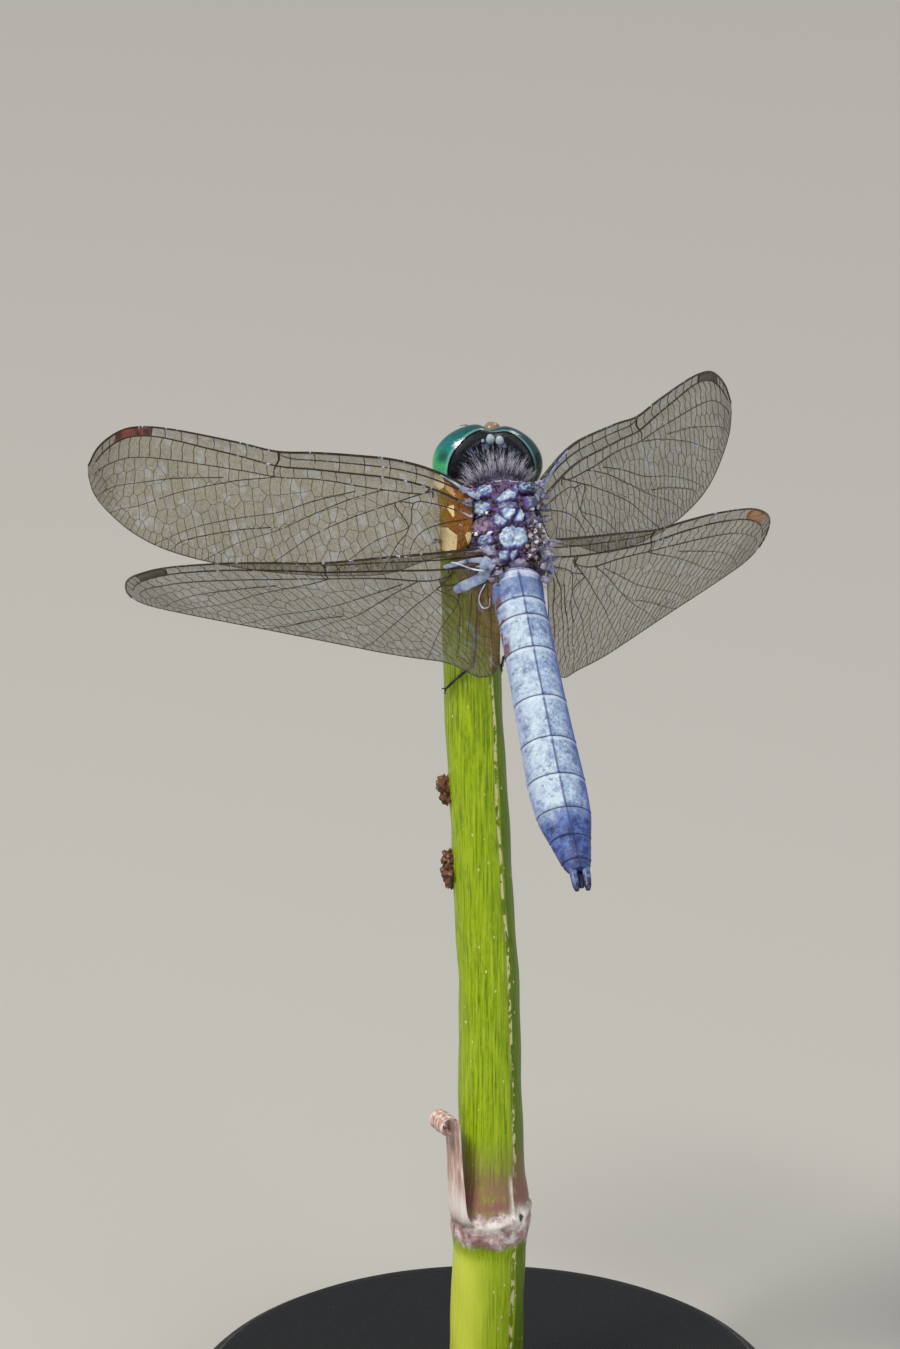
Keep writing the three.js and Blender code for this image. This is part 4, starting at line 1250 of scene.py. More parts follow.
headLook = {
    "half": (3.31, 1.78, 2.48),     # the eyes' common ellipsoid, to the sides, ahead and up
    "eyeGrid": (120, 84),
    "apex": -0.22,          # where the eyes' rear edges meet on top
    "slant": 0.35,          # how fast the edges run back toward the sides
    "notch": 0.4,
    "eyeFloor": -1.35,
    "cornerOut": 1.45,      # where the eyes' lower inner corners are rounded off
    "cornerLevel": -1.15,
    "seam": 0.025,
    "rim": 0.13,
    "faceHalf": 1.3,
    "faceTop": 1.25,
    "faceRear": 0.75,
    "creases": (-0.27, -1.02, -1.68),       # levels between the face's plates
    "cheekHalf": (2.5, 1.55, 1.92),
    "browHalf": (0.5, 0.46, 0.46),
    "ocelli": [((0, 2.08, 1.5), 0.14), ((-0.5, 1.7, 1.46), 0.11), ((0.5, 1.7, 1.46), 0.11)],
    "antennaRadii": ([0, 0.1, 0.22, 0.27, 0.45, 0.5, 1], [0.13, 0.14, 0.1, 0.065, 0.055, 0.035, 0.012]),
}
# the face, from the brow down: height, half width and reach ahead
faceLevels = [
    (1.34, 0.50, 1.62), (1.26, 0.74, 2.0), (1.05, 0.96, 2.24), (0.7, 1.12, 2.34), (0.3, 1.18, 2.34),
    (-0.02, 1.18, 2.24), (-0.2, 1.14, 2.1), (-0.27, 1.1, 1.98), (-0.34, 1.13, 2.06), (-0.7, 1.12, 2.08),
    (-0.96, 1.08, 1.96), (-1.02, 1.04, 1.86), (-1.09, 1.06, 1.93), (-1.4, 1.04, 1.84), (-1.62, 0.98, 1.66),
    (-1.68, 0.94, 1.56), (-1.75, 0.96, 1.6), (-2.0, 0.86, 1.34), (-2.14, 0.66, 1.0),
]
rearBumps = [   # small pale swellings under the point where the eyes meet behind: place and half sizes
    ((-0.2, -0.56, 1.74), (0.3, 0.24, 0.31)),
    ((0.42, -0.56, 1.7), (0.29, 0.24, 0.31)),
    ((-0.66, -0.66, 1.66), (0.14, 0.13, 0.14)),
]


def softBall(center, half, across=24, down=14):
    # a ball drawn out to its three half sizes
    clearSelection()
    bpy.ops.mesh.primitive_uv_sphere_add(segments=across, ring_count=down, radius=1, location=(0, 0, 0))
    ball = bpy.context.object
    editAll(ball)
    bpy.ops.transform.resize(value=half)
    bpy.ops.transform.translate(value=center)
    bpy.ops.object.mode_set(mode="OBJECT")
    bpy.ops.object.shade_smooth()
    return ball


def roundBall(center, radius, across, down):
    return softBall(center, [radius] * 3, across, down)


def cutAway(piece, point, normal):
    # keeps the side of a plane that its normal points away from, and closes the cut
    editAll(piece)
    bpy.ops.mesh.bisect(plane_co=point, plane_no=normal, use_fill=True, clear_outer=True)
    bpy.ops.object.mode_set(mode="OBJECT")


def makeEyeMaterial(name, top, flank, low):
    kit = Surface(name, Roughness=0.12)
    kit.feed("Coat Weight", 0.8)
    kit.feed("Coat Roughness", 0.05)
    kit.feed("IOR", 1.5)
    spot = kit.place(headPlace)
    sideways = kit.math("ABSOLUTE", kit.axis(spot, 0))
    ahead, height = kit.axis(spot, 1), kit.axis(spot, 2)
    drift = kit.cloud(spot, 0.7, 3.0)
    wander = kit.times(kit.minus(drift, 0.5), 1.1)
    level = kit.plus(height, wander)
    color = kit.mix(top, flank, kit.spread(level, 0.1, 1.3, 1.0, 0.0))
    color = kit.tint(color, (0.09, 0.25, 0.3), level, 1.3, 2.3, 0.7)
    color = kit.mix(color, low, kit.spread(level, -2.2, -0.9, 1.0, 0.0))
    # a dark diamond on the outer side
    away = kit.put("CombineXYZ", {0: sideways, 1: ahead, 2: height}).outputs[0]
    away = kit.put("VectorMath", {0: away, 1: (2.72, -0.6, 0.5)}, operation="DISTANCE").outputs["Value"]
    color = kit.tint(color, (0.03, 0.22, 0.24), away, 0.62, 0.2, 0.8)
    dark = kit.cloud(spot, 1.5, 2.0)
    color = kit.tint(color, (0.04, 0.22, 0.24), dark, 0.58, 0.72, 0.35)
    lens = kit.cells(spot, 11.0, "Distance")
    color = kit.tint(color, (0.02, 0.16, 0.17), lens, 0.25, 0.6, 0.35)
    # a thin bright rim and a black line along the rear edge
    fromEdge = kit.plus(ahead, kit.times(sideways, headLook["slant"]))
    fromEdge = kit.minus(fromEdge, headLook["apex"])
    color = kit.tint(color, (0.6, 0.86, 0.84), fromEdge, 0.26, 0.1, 0.4)
    color = kit.tint(color, (0.02, 0.03, 0.05), fromEdge, 0.07, 0.03)
    kit.feed("Roughness", kit.spread(dark, 0.3, 0.7, 0.06, 0.14))
    return kit.finish(color, lens, 0.35, 0.03)


def makeHeadBackMaterial():
    kit = Surface("headBlack", Roughness=0.4)
    spot = kit.place(headPlace)
    bloom = kit.bloom(spot, 1.5, 11.0, 0.46)[0]
    grain, tooth = kit.grain(spot, 7.0)
    wide = kit.math("DIVIDE", kit.axis(spot, 0), 2.5)
    high = kit.math("DIVIDE", kit.axis(spot, 2), 2.25)
    reach = kit.math("SQRT", kit.plus(kit.math("POWER", wide, 2.0), kit.math("POWER", high, 2.0)))
    band = kit.times(kit.spread(reach, 0.35, 0.62), kit.spread(reach, 0.72, 0.86, 1.0, 0.0))
    black = kit.mix((0.02, 0.02, 0.03), (0.09, 0.1, 0.14), grain)
    grey = kit.mix((0.25, 0.3, 0.4), (0.55, 0.62, 0.74), grain)
    color = kit.mix(black, grey, kit.times(band, kit.spread(bloom, 0.2, 0.8)))
    kit.feed("Roughness", kit.spread(bloom, 0, 1, 0.3, 0.6))
    return kit.finish(color, tooth, 0.7, 0.06)


def makeFaceMaterial():
    kit = Surface("paleFace", Roughness=0.38)
    spot = kit.place(headPlace)
    height = kit.axis(spot, 2)
    grain, tooth = kit.grain(spot, 10.0)
    ivory = kit.mix((0.8, 0.8, 0.72), (0.95, 0.95, 0.9), grain)
    brow = kit.spread(height, 0.95, 1.15)
    tan = kit.mix((0.52, 0.38, 0.26), (0.8, 0.66, 0.5), grain)
    color = kit.mix(ivory, tan, brow)
    color = kit.tint(color, (0.16, 0.12, 0.1), height, -1.6, -1.85, 0.8)
    crease = kit.mark("crease")
    color = kit.mix(color, (0.25, 0.2, 0.16), crease, 0.6)
    return kit.finish(color, tooth, 0.5, 0.04)


def makeMetalBrowMaterial():
    kit = Surface("browMetal", Roughness=0.25)
    kit.feed("Coat Weight", 0.4)
    spot = kit.place(headPlace)
    grain, tooth = kit.grain(spot, 9.0)
    metal = kit.mix((0.03, 0.1, 0.14), (0.12, 0.36, 0.38), grain)
    tan = kit.mix((0.34, 0.26, 0.2), (0.8, 0.68, 0.54), grain)
    height = kit.axis(spot, 2)
    top = kit.spread(height, 1.4, 1.6)
    kit.feed("Metallic", kit.spread(height, 1.35, 1.6, 0.7, 0.0))
    return kit.finish(kit.mix(metal, tan, top), tooth, 0.4, 0.04)


def makeOcellusMaterial():
    kit = Surface("ocellus", Roughness=0.08)
    spot = kit.place(headPlace)
    tone = kit.cloud(spot, 3.0)
    kit.feed("Base Color", kit.mix((0.55, 0.4, 0.26), (0.86, 0.76, 0.6), tone))
    return kit.material


def makeBumpMaterial():
    kit = Surface("rearBumps", Roughness=0.4)
    spot = kit.place(headPlace)
    grain, tooth = kit.grain(spot, 6.0)
    return kit.finish(kit.mix((0.42, 0.48, 0.54), (0.84, 0.9, 0.94), grain), tooth, 0.5, 0.05)


def makeEye(name, side, material):
    look = headLook
    eye = softBall((0, 0, 0), look["half"], *look["eyeGrid"])
    # the eyes draw in toward the line where they meet on top
    for vertex in eye.data.vertices:
        inward = bell(vertex.co.x, 0.6) * max(vertex.co.z, 0) / look["half"][2]
        vertex.co.z -= look["notch"] * inward
    cutAway(eye, (side * look["seam"], 0, 0), (-side, 0, 0))
    cutAway(eye, (0, look["apex"], 0), (-side * look["slant"], -1, 0))
    cutAway(eye, (0, 0, look["eyeFloor"]), (0, 0.25, -1))
    cutAway(eye, (side * look["cornerOut"], 0, look["cornerLevel"]), (-side * 0.54, 0.1, -0.84))
    room = softBall((0, 1.9, -1.35), (look["faceHalf"], 2.0, look["faceTop"] + 1.35), 40, 28)
    cut = eye.modifiers.new("faceRoom", "BOOLEAN")
    cut.operation = "DIFFERENCE"
    cut.object = room
    pickOnly(eye)
    bpy.ops.object.modifier_apply(modifier="faceRoom")
    bpy.data.objects.remove(room)
    roundEdges(eye, look["rim"], 4, 40)
    bpy.ops.object.modifier_apply(modifier="rounding")
    bpy.ops.object.shade_smooth_by_angle(angle=math.radians(50))
    finishPiece(eye, name, headPlace, [material], [name])


def eyeEdge(turn):
    # the rear edge of the eyes at a turn round the head: its reach from the middle and its place ahead
    look = headLook
    wide, deep, high = look["half"]
    low, far = 0.0, 3.5
    for _ in range(30):
        reach = (low + far) / 2
        x, z = reach * math.cos(turn), reach * math.sin(turn)
        y = look["apex"] - look["slant"] * abs(x)
        inside = (x / wide) ** 2 + (y / deep) ** 2 + (z / high) ** 2 < 1
        low, far = (reach, far) if inside else (low, reach)
    x, z = reach * math.cos(turn), reach * math.sin(turn)
    reach -= look["notch"] * bell(x, 0.6) * max(z, 0) / high * 0.9
    return reach, look["apex"] - look["slant"] * abs(x)


def dishPoint(turn, share):
    # a point on the head's hollow rear: share runs from the neck to the eyes' edge
    reach, edge = eyeEdge(turn)
    depth = np.interp(share, [0.1, 0.22, 0.3, 0.42, 0.6, 0.78, 0.9, 0.97, 1.0],
                      [-1.0, -0.98, -0.82, -0.66, -0.62, -0.66, -0.55, -0.3, 0.16])
    level = edge * share ** 1.5 + (1 - share ** 1.5) * -0.1
    across, up = reach * share * math.cos(turn), reach * share * math.sin(turn)
    return across, level + depth * (1 - 0.55 * share), up - 0.02


def makeHeadBack(material):
    # the dished rear of the head, lofted from the eyes' rear edge in to the neck
    sides = 96
    shares = (1.0, 0.985, 0.955, 0.91, 0.85, 0.76, 0.64, 0.5, 0.38, 0.28, 0.2, 0.1)
    rings = []
    for share in shares:
        ring = []
        for j in range(sides):
            turn = 2 * math.pi * j / sides
            x, y, z = dishPoint(turn, share * 0.985)
            ripple = 0.04 * math.sin(turn * 17) * bell(share - 0.72, 0.14)
            ring.append((x, y + ripple, z))
        rings.append(ring)
    inner = [(0.86 * x, y + 0.5, 0.86 * z) for x, y, z in rings[0]]
    smooth = [np.array(inner)] + list(throughRings(rings, 3))
    back = rolledTube(smooth)

    # cheeks below the eyes, jaw and the underside
    cheeks = softBall((0, 0.1, -0.25), headLook["cheekHalf"], 56, 40)
    cutAway(cheeks, (0, 0, -1.2), (0, -0.22, 1))
    cutAway(cheeks, (0, -0.95, 0), (0, -1, 0))
    finishPiece(joinPieces([back, cheeks]), "head_back", headPlace, [material],
                ["head_capsule"])


def throughRings(rings, steps):
    # more rings between the given ones, along smooth lines
    rings = np.array(rings, float)
    flat = rings.reshape(len(rings), -1)
    return throughPoints(flat, steps).reshape(-1, rings.shape[1], 3)


def makeFace(material):
    sides = 44
    rings = []
    rear = headLook["faceRear"]
    for z, half, reach in faceLevels:
        ring = []
        for j in range(sides):
            a = 2 * math.pi * j / sides
            ahead = math.sin(a)
            y = rear + (reach - rear) * ahead ** 0.75 if ahead > 0 else rear + 0.4 * ahead
            # a shallow furrow down the middle of the frons
            furrow = 0.07 * bell(math.cos(a), 0.16) * max(ahead, 0) if z > 0.2 else 0
            ring.append((half * math.cos(a), y - furrow, z))
        rings.append(ring)
    rings = throughRings(rings, 3)
    heights = rings[:, 0, 2]
    crease = sum(bell(heights - level, 0.05) for level in headLook["creases"])
    face = rolledTube(rings, {"crease": crease[:, None]})
    finishPiece(face, "face_mask", headPlace, [material], ["face"])


def makeHead():
    leftEye = makeEyeMaterial("eyeTeal", (0.12, 0.52, 0.52), (0.32, 0.84, 0.56), (0.56, 0.94, 0.60))
    # the right eye takes a darker copy of the teal, painted shade on the side away from the light
    rightEye = makeEyeMaterial("eyeTealPaintedShade", (0.11, 0.29, 0.34), (0.08, 0.24, 0.27), (0.30, 0.46, 0.26))
    makeEye("eye_left", -1, leftEye)
    makeEye("eye_right", 1, rightEye)
    black = makeHeadBackMaterial()
    makeHeadBack(black)
    makeFace(makeFaceMaterial())
    browMetal = makeMetalBrowMaterial()
    brow = softBall((0.36, 1.6, 1.6), headLook["browHalf"], 40, 26)
    for vertex in brow.data.vertices:
        vertex.co *= 1 + 0.02 * noise.noise(vertex.co * 6.0)
    finishPiece(brow, "vertex_bump", headPlace, [browMetal])
    ocellus = makeOcellusMaterial()
    eyelets = [roundBall(center, radius, 16, 10) for center, radius in headLook["ocelli"]]
    finishPiece(joinPieces(eyelets), "ocelli", headPlace, [ocellus])
    bumps = [softBall(center, half, 20, 12) for center, half in rearBumps]
    finishPiece(joinPieces(bumps), "rear_bumps", headPlace, [makeBumpMaterial()])
    for name, side in (("antenna_left", -1), ("antenna_right", 1)):
        line = throughPoints([(side * 0.6, 2.05, 1.3), (side * 0.68, 2.24, 1.4), (side * 0.84, 2.55, 1.42),
                              (side * 1.04, 2.92, 1.32), (side * 1.22, 3.28, 1.13)], 8)
        radii = np.interp(np.linspace(0, 1, len(line)), *headLook["antennaRadii"])
        bristle = rolledTube(barRings(line, radii, 12))
        finishPiece(bristle, name + "_bristle", headPlace, [black], [name])


makeHead()
print("the head is made")


# wing hinges: struts, small plates and the blue straps over the wing roots

hingeLook = {
    "strapThickness": 0.09,
    "strutRadii": ([0, 0.2, 0.5, 0.75, 1], [1.5, 0.9, 1.0, 0.6, 0.35]),
    "glints": 46,
    "glintSeed": 23,
}
# straps on the wings: wing, line as (along, behind the front edge), half widths root to tip, lift
wingStraps = [
    ("hind_wing_left", [(-0.5, 0.9), (0.2, 0.72), (1.13, 0.66), (1.81, 0.72), (2.46, 0.8), (3.2, 0.88)],
     [0.3, 0.2, 0.12, 0.1, 0.14, 0.12], 0.2),
    ("hind_wing_left", [(0.1, 1.3), (0.69, 1.16), (1.29, 0.96), (1.89, 0.76), (2.5, 0.6)],
     [0.05, 0.05, 0.04, 0.04, 0.03], 0.3),
    ("hind_wing_left", [(-0.5, 0.7), (0.0, 1.2), (0.5, 1.7), (1.41, 1.99), (2.26, 2.22), (3.1, 2.46)],
     [0.45, 0.42, 0.34, 0.29, 0.33, 0.2], 0.2),
    ("hind_wing_left", [(0.5, 2.2), (1.0, 2.68), (1.3, 3.18), (1.21, 3.65), (0.65, 3.58), (0.37, 3.08)],
     [0.035, 0.03, 0.03, 0.03, 0.03, 0.03], 0.1),
    ("hind_wing_right", [(-1.24, 0.86), (-0.76, 1.26), (-0.2, 1.75), (-0.19, 2.1)],
     [0.2, 0.24, 0.22, 0.08], 0.2),
    ("fore_wing_right", [(-1.1, 0.75), (0.05, 0.5), (1.45, 0.2), (3.0, 0.05), (4.4, 0.0)],
     [0.24, 0.16, 0.1, 0.07, 0.04], 0.14),
    ("fore_wing_left", [(-0.6, 0.5), (0.37, 0.3), (1.2, 0.12), (2.4, 0.03)], [0.2, 0.13, 0.08, 0.04], 0.12),
]
# small crumpled plates at each wing's root: place on the wing, half sizes, lift
rootPads = [
    ((-0.55, 0.25), (0.34, 0.2, 0.16), 0.1),
    ((-0.75, 0.85), (0.3, 0.26, 0.16), 0.02),
    ((-0.25, 1.1), (0.26, 0.16, 0.13), 0.1),
    ((-0.6, 1.55), (0.3, 0.22, 0.16), 0.0),
    ((-0.1, 1.95), (0.24, 0.14, 0.12), 0.06),
    ((-0.5, 2.3), (0.28, 0.2, 0.14), -0.05),
]


def strapRings(line, halfWidths, thickness, up):
    # a flat band along a line, rounded at its edges
    rings = barRings(line, 1.0, 14, 1.0, up)
    share = np.linspace(0, 1, len(line))
    wide = readAlong(halfWidths, len(line))
    close = np.where((share < 0.02) | (share > 0.98), 0.55, 1.0)
    offset = rings - line[:, None, :]
    turn = np.linspace(0, 2 * math.pi, 14, endpoint=False)
    across = (offset[:, 0] - offset[:, 7]) / 2
    over = unit(np.cross(across, np.gradient(line, axis=0)))
    flatten = np.sign(np.cos(turn)) * np.abs(np.cos(turn)) ** 0.7
    return (line[:, None, :]
            + (wide * close)[:, None, None] * flatten[None, :, None] * across[:, None, :]
            + (thickness * close / 2)[:, None, None] * np.sin(turn)[None, :, None] * over[:, None, :])


def makeHingeMaterial(name, dark, light, worn):
    kit = Surface(name, Roughness=0.4)
    spot = kit.place(bodyPlace)
    bloom = kit.bloom(spot, 1.3, 13.0, 0.36)[0]
    tooth = kit.grain(spot, 9.0)[1]
    cloud = kit.cloud(spot, 2.2, 4.0)
    color = kit.tint(dark, light, cloud, 0.38, 0.62)
    color = kit.mix(color, worn, bloom, 0.6)
    kit.feed("Roughness", kit.spread(bloom, 0, 1, 0.3, 0.6))
    return kit.finish(color, tooth, 0.6, 0.05)


def makeGlintMaterial():
    # painted glints: bronze and white specks among the wing hinges
    kit = Surface("hingeGlint", Roughness=0.2)
    spot = kit.place(bodyPlace)
    cloud = kit.cloud(spot, 2.6, 3.0)
    color = kit.tint((0.2, 0.1, 0.14), (0.62, 0.46, 0.54), cloud, 0.36, 0.46)
    color = kit.tint(color, (0.97, 0.96, 1.0), cloud, 0.46, 0.53)
    kit.feed("Roughness", kit.spread(cloud, 0.3, 0.7, 0.12, 0.35))
    return kit.finish(color, cloud, 0.4, 0.03)


def lumpyBall(center, half, roughness, seed, across=40, down=28):
    # an irregular lump: a ball pushed in and out by two sizes of noise
    ball = softBall((0, 0, 0), (1, 1, 1), across, down)
    for vertex in ball.data.vertices:
        uneven = noise.noise(vertex.co * 1.7 + Vector((seed * 5, 0, 0)))
        uneven += 0.5 * noise.noise(vertex.co * 4.0 + Vector((0, seed * 3, 0)))
        vertex.co = vertex.co * (1 + roughness * uneven)
        vertex.co = Vector([c * h for c, h in zip(vertex.co, half)]) + Vector(center)
    return ball


def makeHinges():
    strapBlue = makeHingeMaterial("hingeStrap", (0.13, 0.14, 0.36), (0.40, 0.46, 0.70), (0.86, 0.92, 1.0))
    purple = makeHingeMaterial("hingeMembrane", (0.09, 0.05, 0.11), (0.44, 0.32, 0.48), (0.82, 0.84, 0.95))
    # the thin strap edges and loops are near white, painted as glint lines
    paintedGlintEdge = makeHingeMaterial("paintedGlintEdge", (0.55, 0.58, 0.80), (0.86, 0.90, 1.0), (0.97, 0.98, 1.0))
    straps, edges = [], []
    for name, path, halfWidths, lift in wingStraps:
        shape = wingShapes[name]
        flat = throughPoints(path, 8)
        line = shape.at(flat[:, 0], flat[:, 1], lift)
        up = np.cross(shape.span, shape.chordRoot)
        ring = strapRings(line, halfWidths, hingeLook["strapThickness"], up)
        (edges if max(halfWidths) < 0.06 else straps).append(rolledTube(ring))
    finishPiece(joinPieces(straps), "wing_root_straps", bodyPlace, [strapBlue])
    finishPiece(joinPieces(edges), "strap_edges", bodyPlace, [paintedGlintEdge])

    # short struts that carry each wing's main veins into the thorax, and crumpled plates between them
    struts = []
    for name, shape in wingShapes.items():
        side = shape.side
        fore = {"fore_wing_left": 1.0, "fore_wing_right": 0.4}.get(name, 0.0)
        for s, d, radius in ((1.3, 0.08, 0.13), (1.1, 1.06, 0.12), (0.9, 1.75, 0.1)):
            line = throughPoints([shape.at(fore - 0.8, d * 0.9, -0.15), shape.at(0.1, d, 0.02),
                                  shape.at(s, d)], 8)
            radii = radius * np.interp(np.linspace(0, 1, len(line)), *hingeLook["strutRadii"])
            struts.append(rolledTube(barRings(line, radii, 14, 0.8)))
        for index, ((s, d), half, lift) in enumerate(rootPads[:2] if name == "fore_wing_left" else rootPads):
            half = [h * (1.05 if index % 2 == (side > 0) else 0.75) for h in half]
            struts.append(lumpyBall(shape.at(s + fore, d, lift), half, 0.5, index * 3 + side, 26, 18))
    finishPiece(joinPieces(struts), "wing_hinges", bodyPlace, [purple])

    # small shining knobs about the hinges, most of them on the right
    pick = random.Random(hingeLook["glintSeed"])
    knobs = []
    for index in range(hingeLook["glints"]):
        side = 1 if index % 4 else -1
        y = pick.uniform(-2.7, 0.9)
        half, top, _, aside, waist = sectionAt(y)
        angle = pick.uniform(0.35, 1.0)
        rise = math.sin(angle)
        x = aside + side * half * math.cos(angle) * (1 - 0.12 * rise)
        z = waist + (top - waist) * rise
        size = pick.uniform(0.06, 0.16)
        shape = (size * pick.uniform(0.8, 1.9), size * pick.uniform(0.8, 1.6), size)
        knobs.append(lumpyBall((x, y, z + 0.04), shape, 0.6, index, 12, 8))
    finishPiece(joinPieces(knobs), "hinge_knobs", bodyPlace, [makeGlintMaterial()])


makeHinges()
print("wing hinges are made")


# collar plate over the neck

collarPlan = {
    "ahead": 3.62,
    "halfWidth": 1.72,
    "height": 0.62,
    "notch": 0.16,
    "thickness": 0.2,
    "lean": 0.25,
    "fold": 0.055,
}


def makeCollar():
    plan = collarPlan
    rings = []
    for u in np.linspace(-1, 1, 81):
        x = -0.2 + plan["halfWidth"] * u
        arch = 1 - abs(u) ** 2.4
        foot = 0.42 - 1.25 * (1 - math.sqrt(max(0.0, 1 - 0.8 * u * u)))
        height = plan["height"] * (0.25 + 0.75 * arch) - plan["notch"] * bell(u, 0.14)
        ahead = plan["ahead"] - 0.22 * u * u
        ring = []
        for turn in np.linspace(0, 2 * math.pi, 48, endpoint=False):
            t = 0.5 + 0.5 * math.sin(turn)
            fold = plan["fold"] * math.sin(20 * t + 1.5 * math.sin(3 * u) + 0.4 * math.sin(17 * u)) * arch
            thick = plan["thickness"] * math.cos(turn) * (0.55 + 0.45 * (1 - t)) * max(arch, 0.25)
            thick += fold * math.copysign(abs(math.cos(turn)) ** 0.5, math.cos(turn))
            ring.append((x, ahead + thick + plan["lean"] * t * height, foot - 0.35 + (height + 0.35) * t))
        rings.append(ring)
    material = makeHingeMaterial("collarShell", (0.38, 0.30, 0.44), (0.66, 0.58, 0.72), (0.92, 0.88, 0.97))
    collar = rolledTube(rings)
    finishPiece(collar, "collar_plate", bodyPlace, [material])


makeCollar()
print("the collar is made")


# legs

# each leg: where it leaves the body (body frame), then knee, ankle and foot, level with the ground
# and measured from the thorax centre
legPlans = {
    "leg_fore_left": {"hip": (-0.72, 3.55, -2.35), "knee": (-2.9, 5.0, -2.2), "ankle": (-3.1, 7.3, -3.3),
                      "foot": (-2.85, 8.9, -4.2)},
    "leg_fore_right": {"hip": (0.42, 3.55, -2.35), "knee": (1.3, 5.0, -2.3), "ankle": (1.25, 7.4, -3.2),
                       "foot": (0.7, 9.0, -4.1)},
    "leg_mid_left": {"hip": (-1.2, 2.3, -3.3), "knee": (-2.5, 2.7, -4.3), "ankle": (-2.75, 5.95, -5.7),
                     "foot": (-4.15, 6.75, -5.9)},
    "leg_mid_right": {"hip": (0.85, 2.3, -3.3), "knee": (2.2, 3.6, -4.9), "ankle": (1.2, 6.9, -6.9),
                      "foot": (1.1, 8.2, -8.6)},
    "leg_hind_left": {"hip": (-1.0, 0.7, -4.0), "knee": (-1.7, 1.5, -6.9), "ankle": (-1.25, 5.25, -10.7),
                      "foot": (-3.35, 6.1, -12.6)},
    "leg_hind_right": {"hip": (0.7, 0.7, -4.0), "knee": (1.7, 2.2, -7.0), "ankle": (0.75, 5.9, -10.6),
                       "foot": (1.5, 7.6, -12.4)},
}
legLook = {
    "coxa": (0.5, 0.46, 0.34),                 # radii along each length
    "femur": (0.24, 0.31, 0.27, 0.17, 0.2),
    "tibia": (0.17, 0.12, 0.115, 0.11, 0.12),
    "tarsus": (0.085, 0.07, 0.095, 0.065, 0.09, 0.06),
    "kneeBall": 0.19,
    "ankleBall": 0.12,
    "footKnot": 0.105,
    "spine": 0.62,
    "spineRadius": 0.026,
    "claw": 0.34,
    "stemAxis": (-1.0, 7.4),
    "stemRadius": 1.78,
}


def levelToBody(point):
    # from the level frame at the thorax centre into the pitched body's frame
    return np.array(Matrix.Rotation(-math.radians(bodyPlan["pitch"]), 3, "X") @ Vector(point))


def limbTube(start, end, radii, bow, sides=18):
    # a slightly bowed, ridged limb with closed ends, its middle line and its radii
    along = end - start
    length = np.linalg.norm(along)
    side = unit(np.cross(along / length, (1, 0, 0)))
    share = np.linspace(0, 1, 19)
    line = start + along * share[:, None] + side * (bow * np.sin(share * math.pi))[:, None]
    thick = readAlong(radii, len(share))
    rings = barRings(line, thick, sides, 0.9, (1, 0, 0))
    # shallow ridges run along the limb
    turn = np.linspace(0, 2 * math.pi, sides, endpoint=False)
    centre = line[:, None, :]
    rings = centre + (rings - centre) * (1 + 0.05 * np.cos(turn * 6))[None, :, None]
    tip = lambda place, ring: place + (ring - place) * 0.45
    rings = np.concatenate([[tip(line[0], rings[0]) - along / length * 0.1], rings,
                            [tip(line[-1], rings[-1]) + along / length * 0.1]])
    return rolledTube(rings), line, thick


def makeLegMaterial():
    kit = Surface("legBlack", Roughness=0.32)
    spot = kit.place(bodyPlace)
    bloom = kit.bloom(spot, 1.4, 12.0, 0.42)[0]
    grain, tooth = kit.grain(spot, 12.0, (1, 1, 0.5))
    color = kit.mix((0.025, 0.02, 0.03), (0.12, 0.11, 0.14), grain)
    nearBody = kit.spread(kit.axis(spot, 2), -5.2, -2.6)
    dust = kit.times(bloom, kit.plus(nearBody, 0.18))
    color = kit.mix(color, (0.34, 0.34, 0.46), kit.math("MINIMUM", dust, 0.75))
    kit.feed("Roughness", kit.spread(bloom, 0, 1, 0.24, 0.5))
    return kit.finish(color, tooth, 0.6, 0.04)


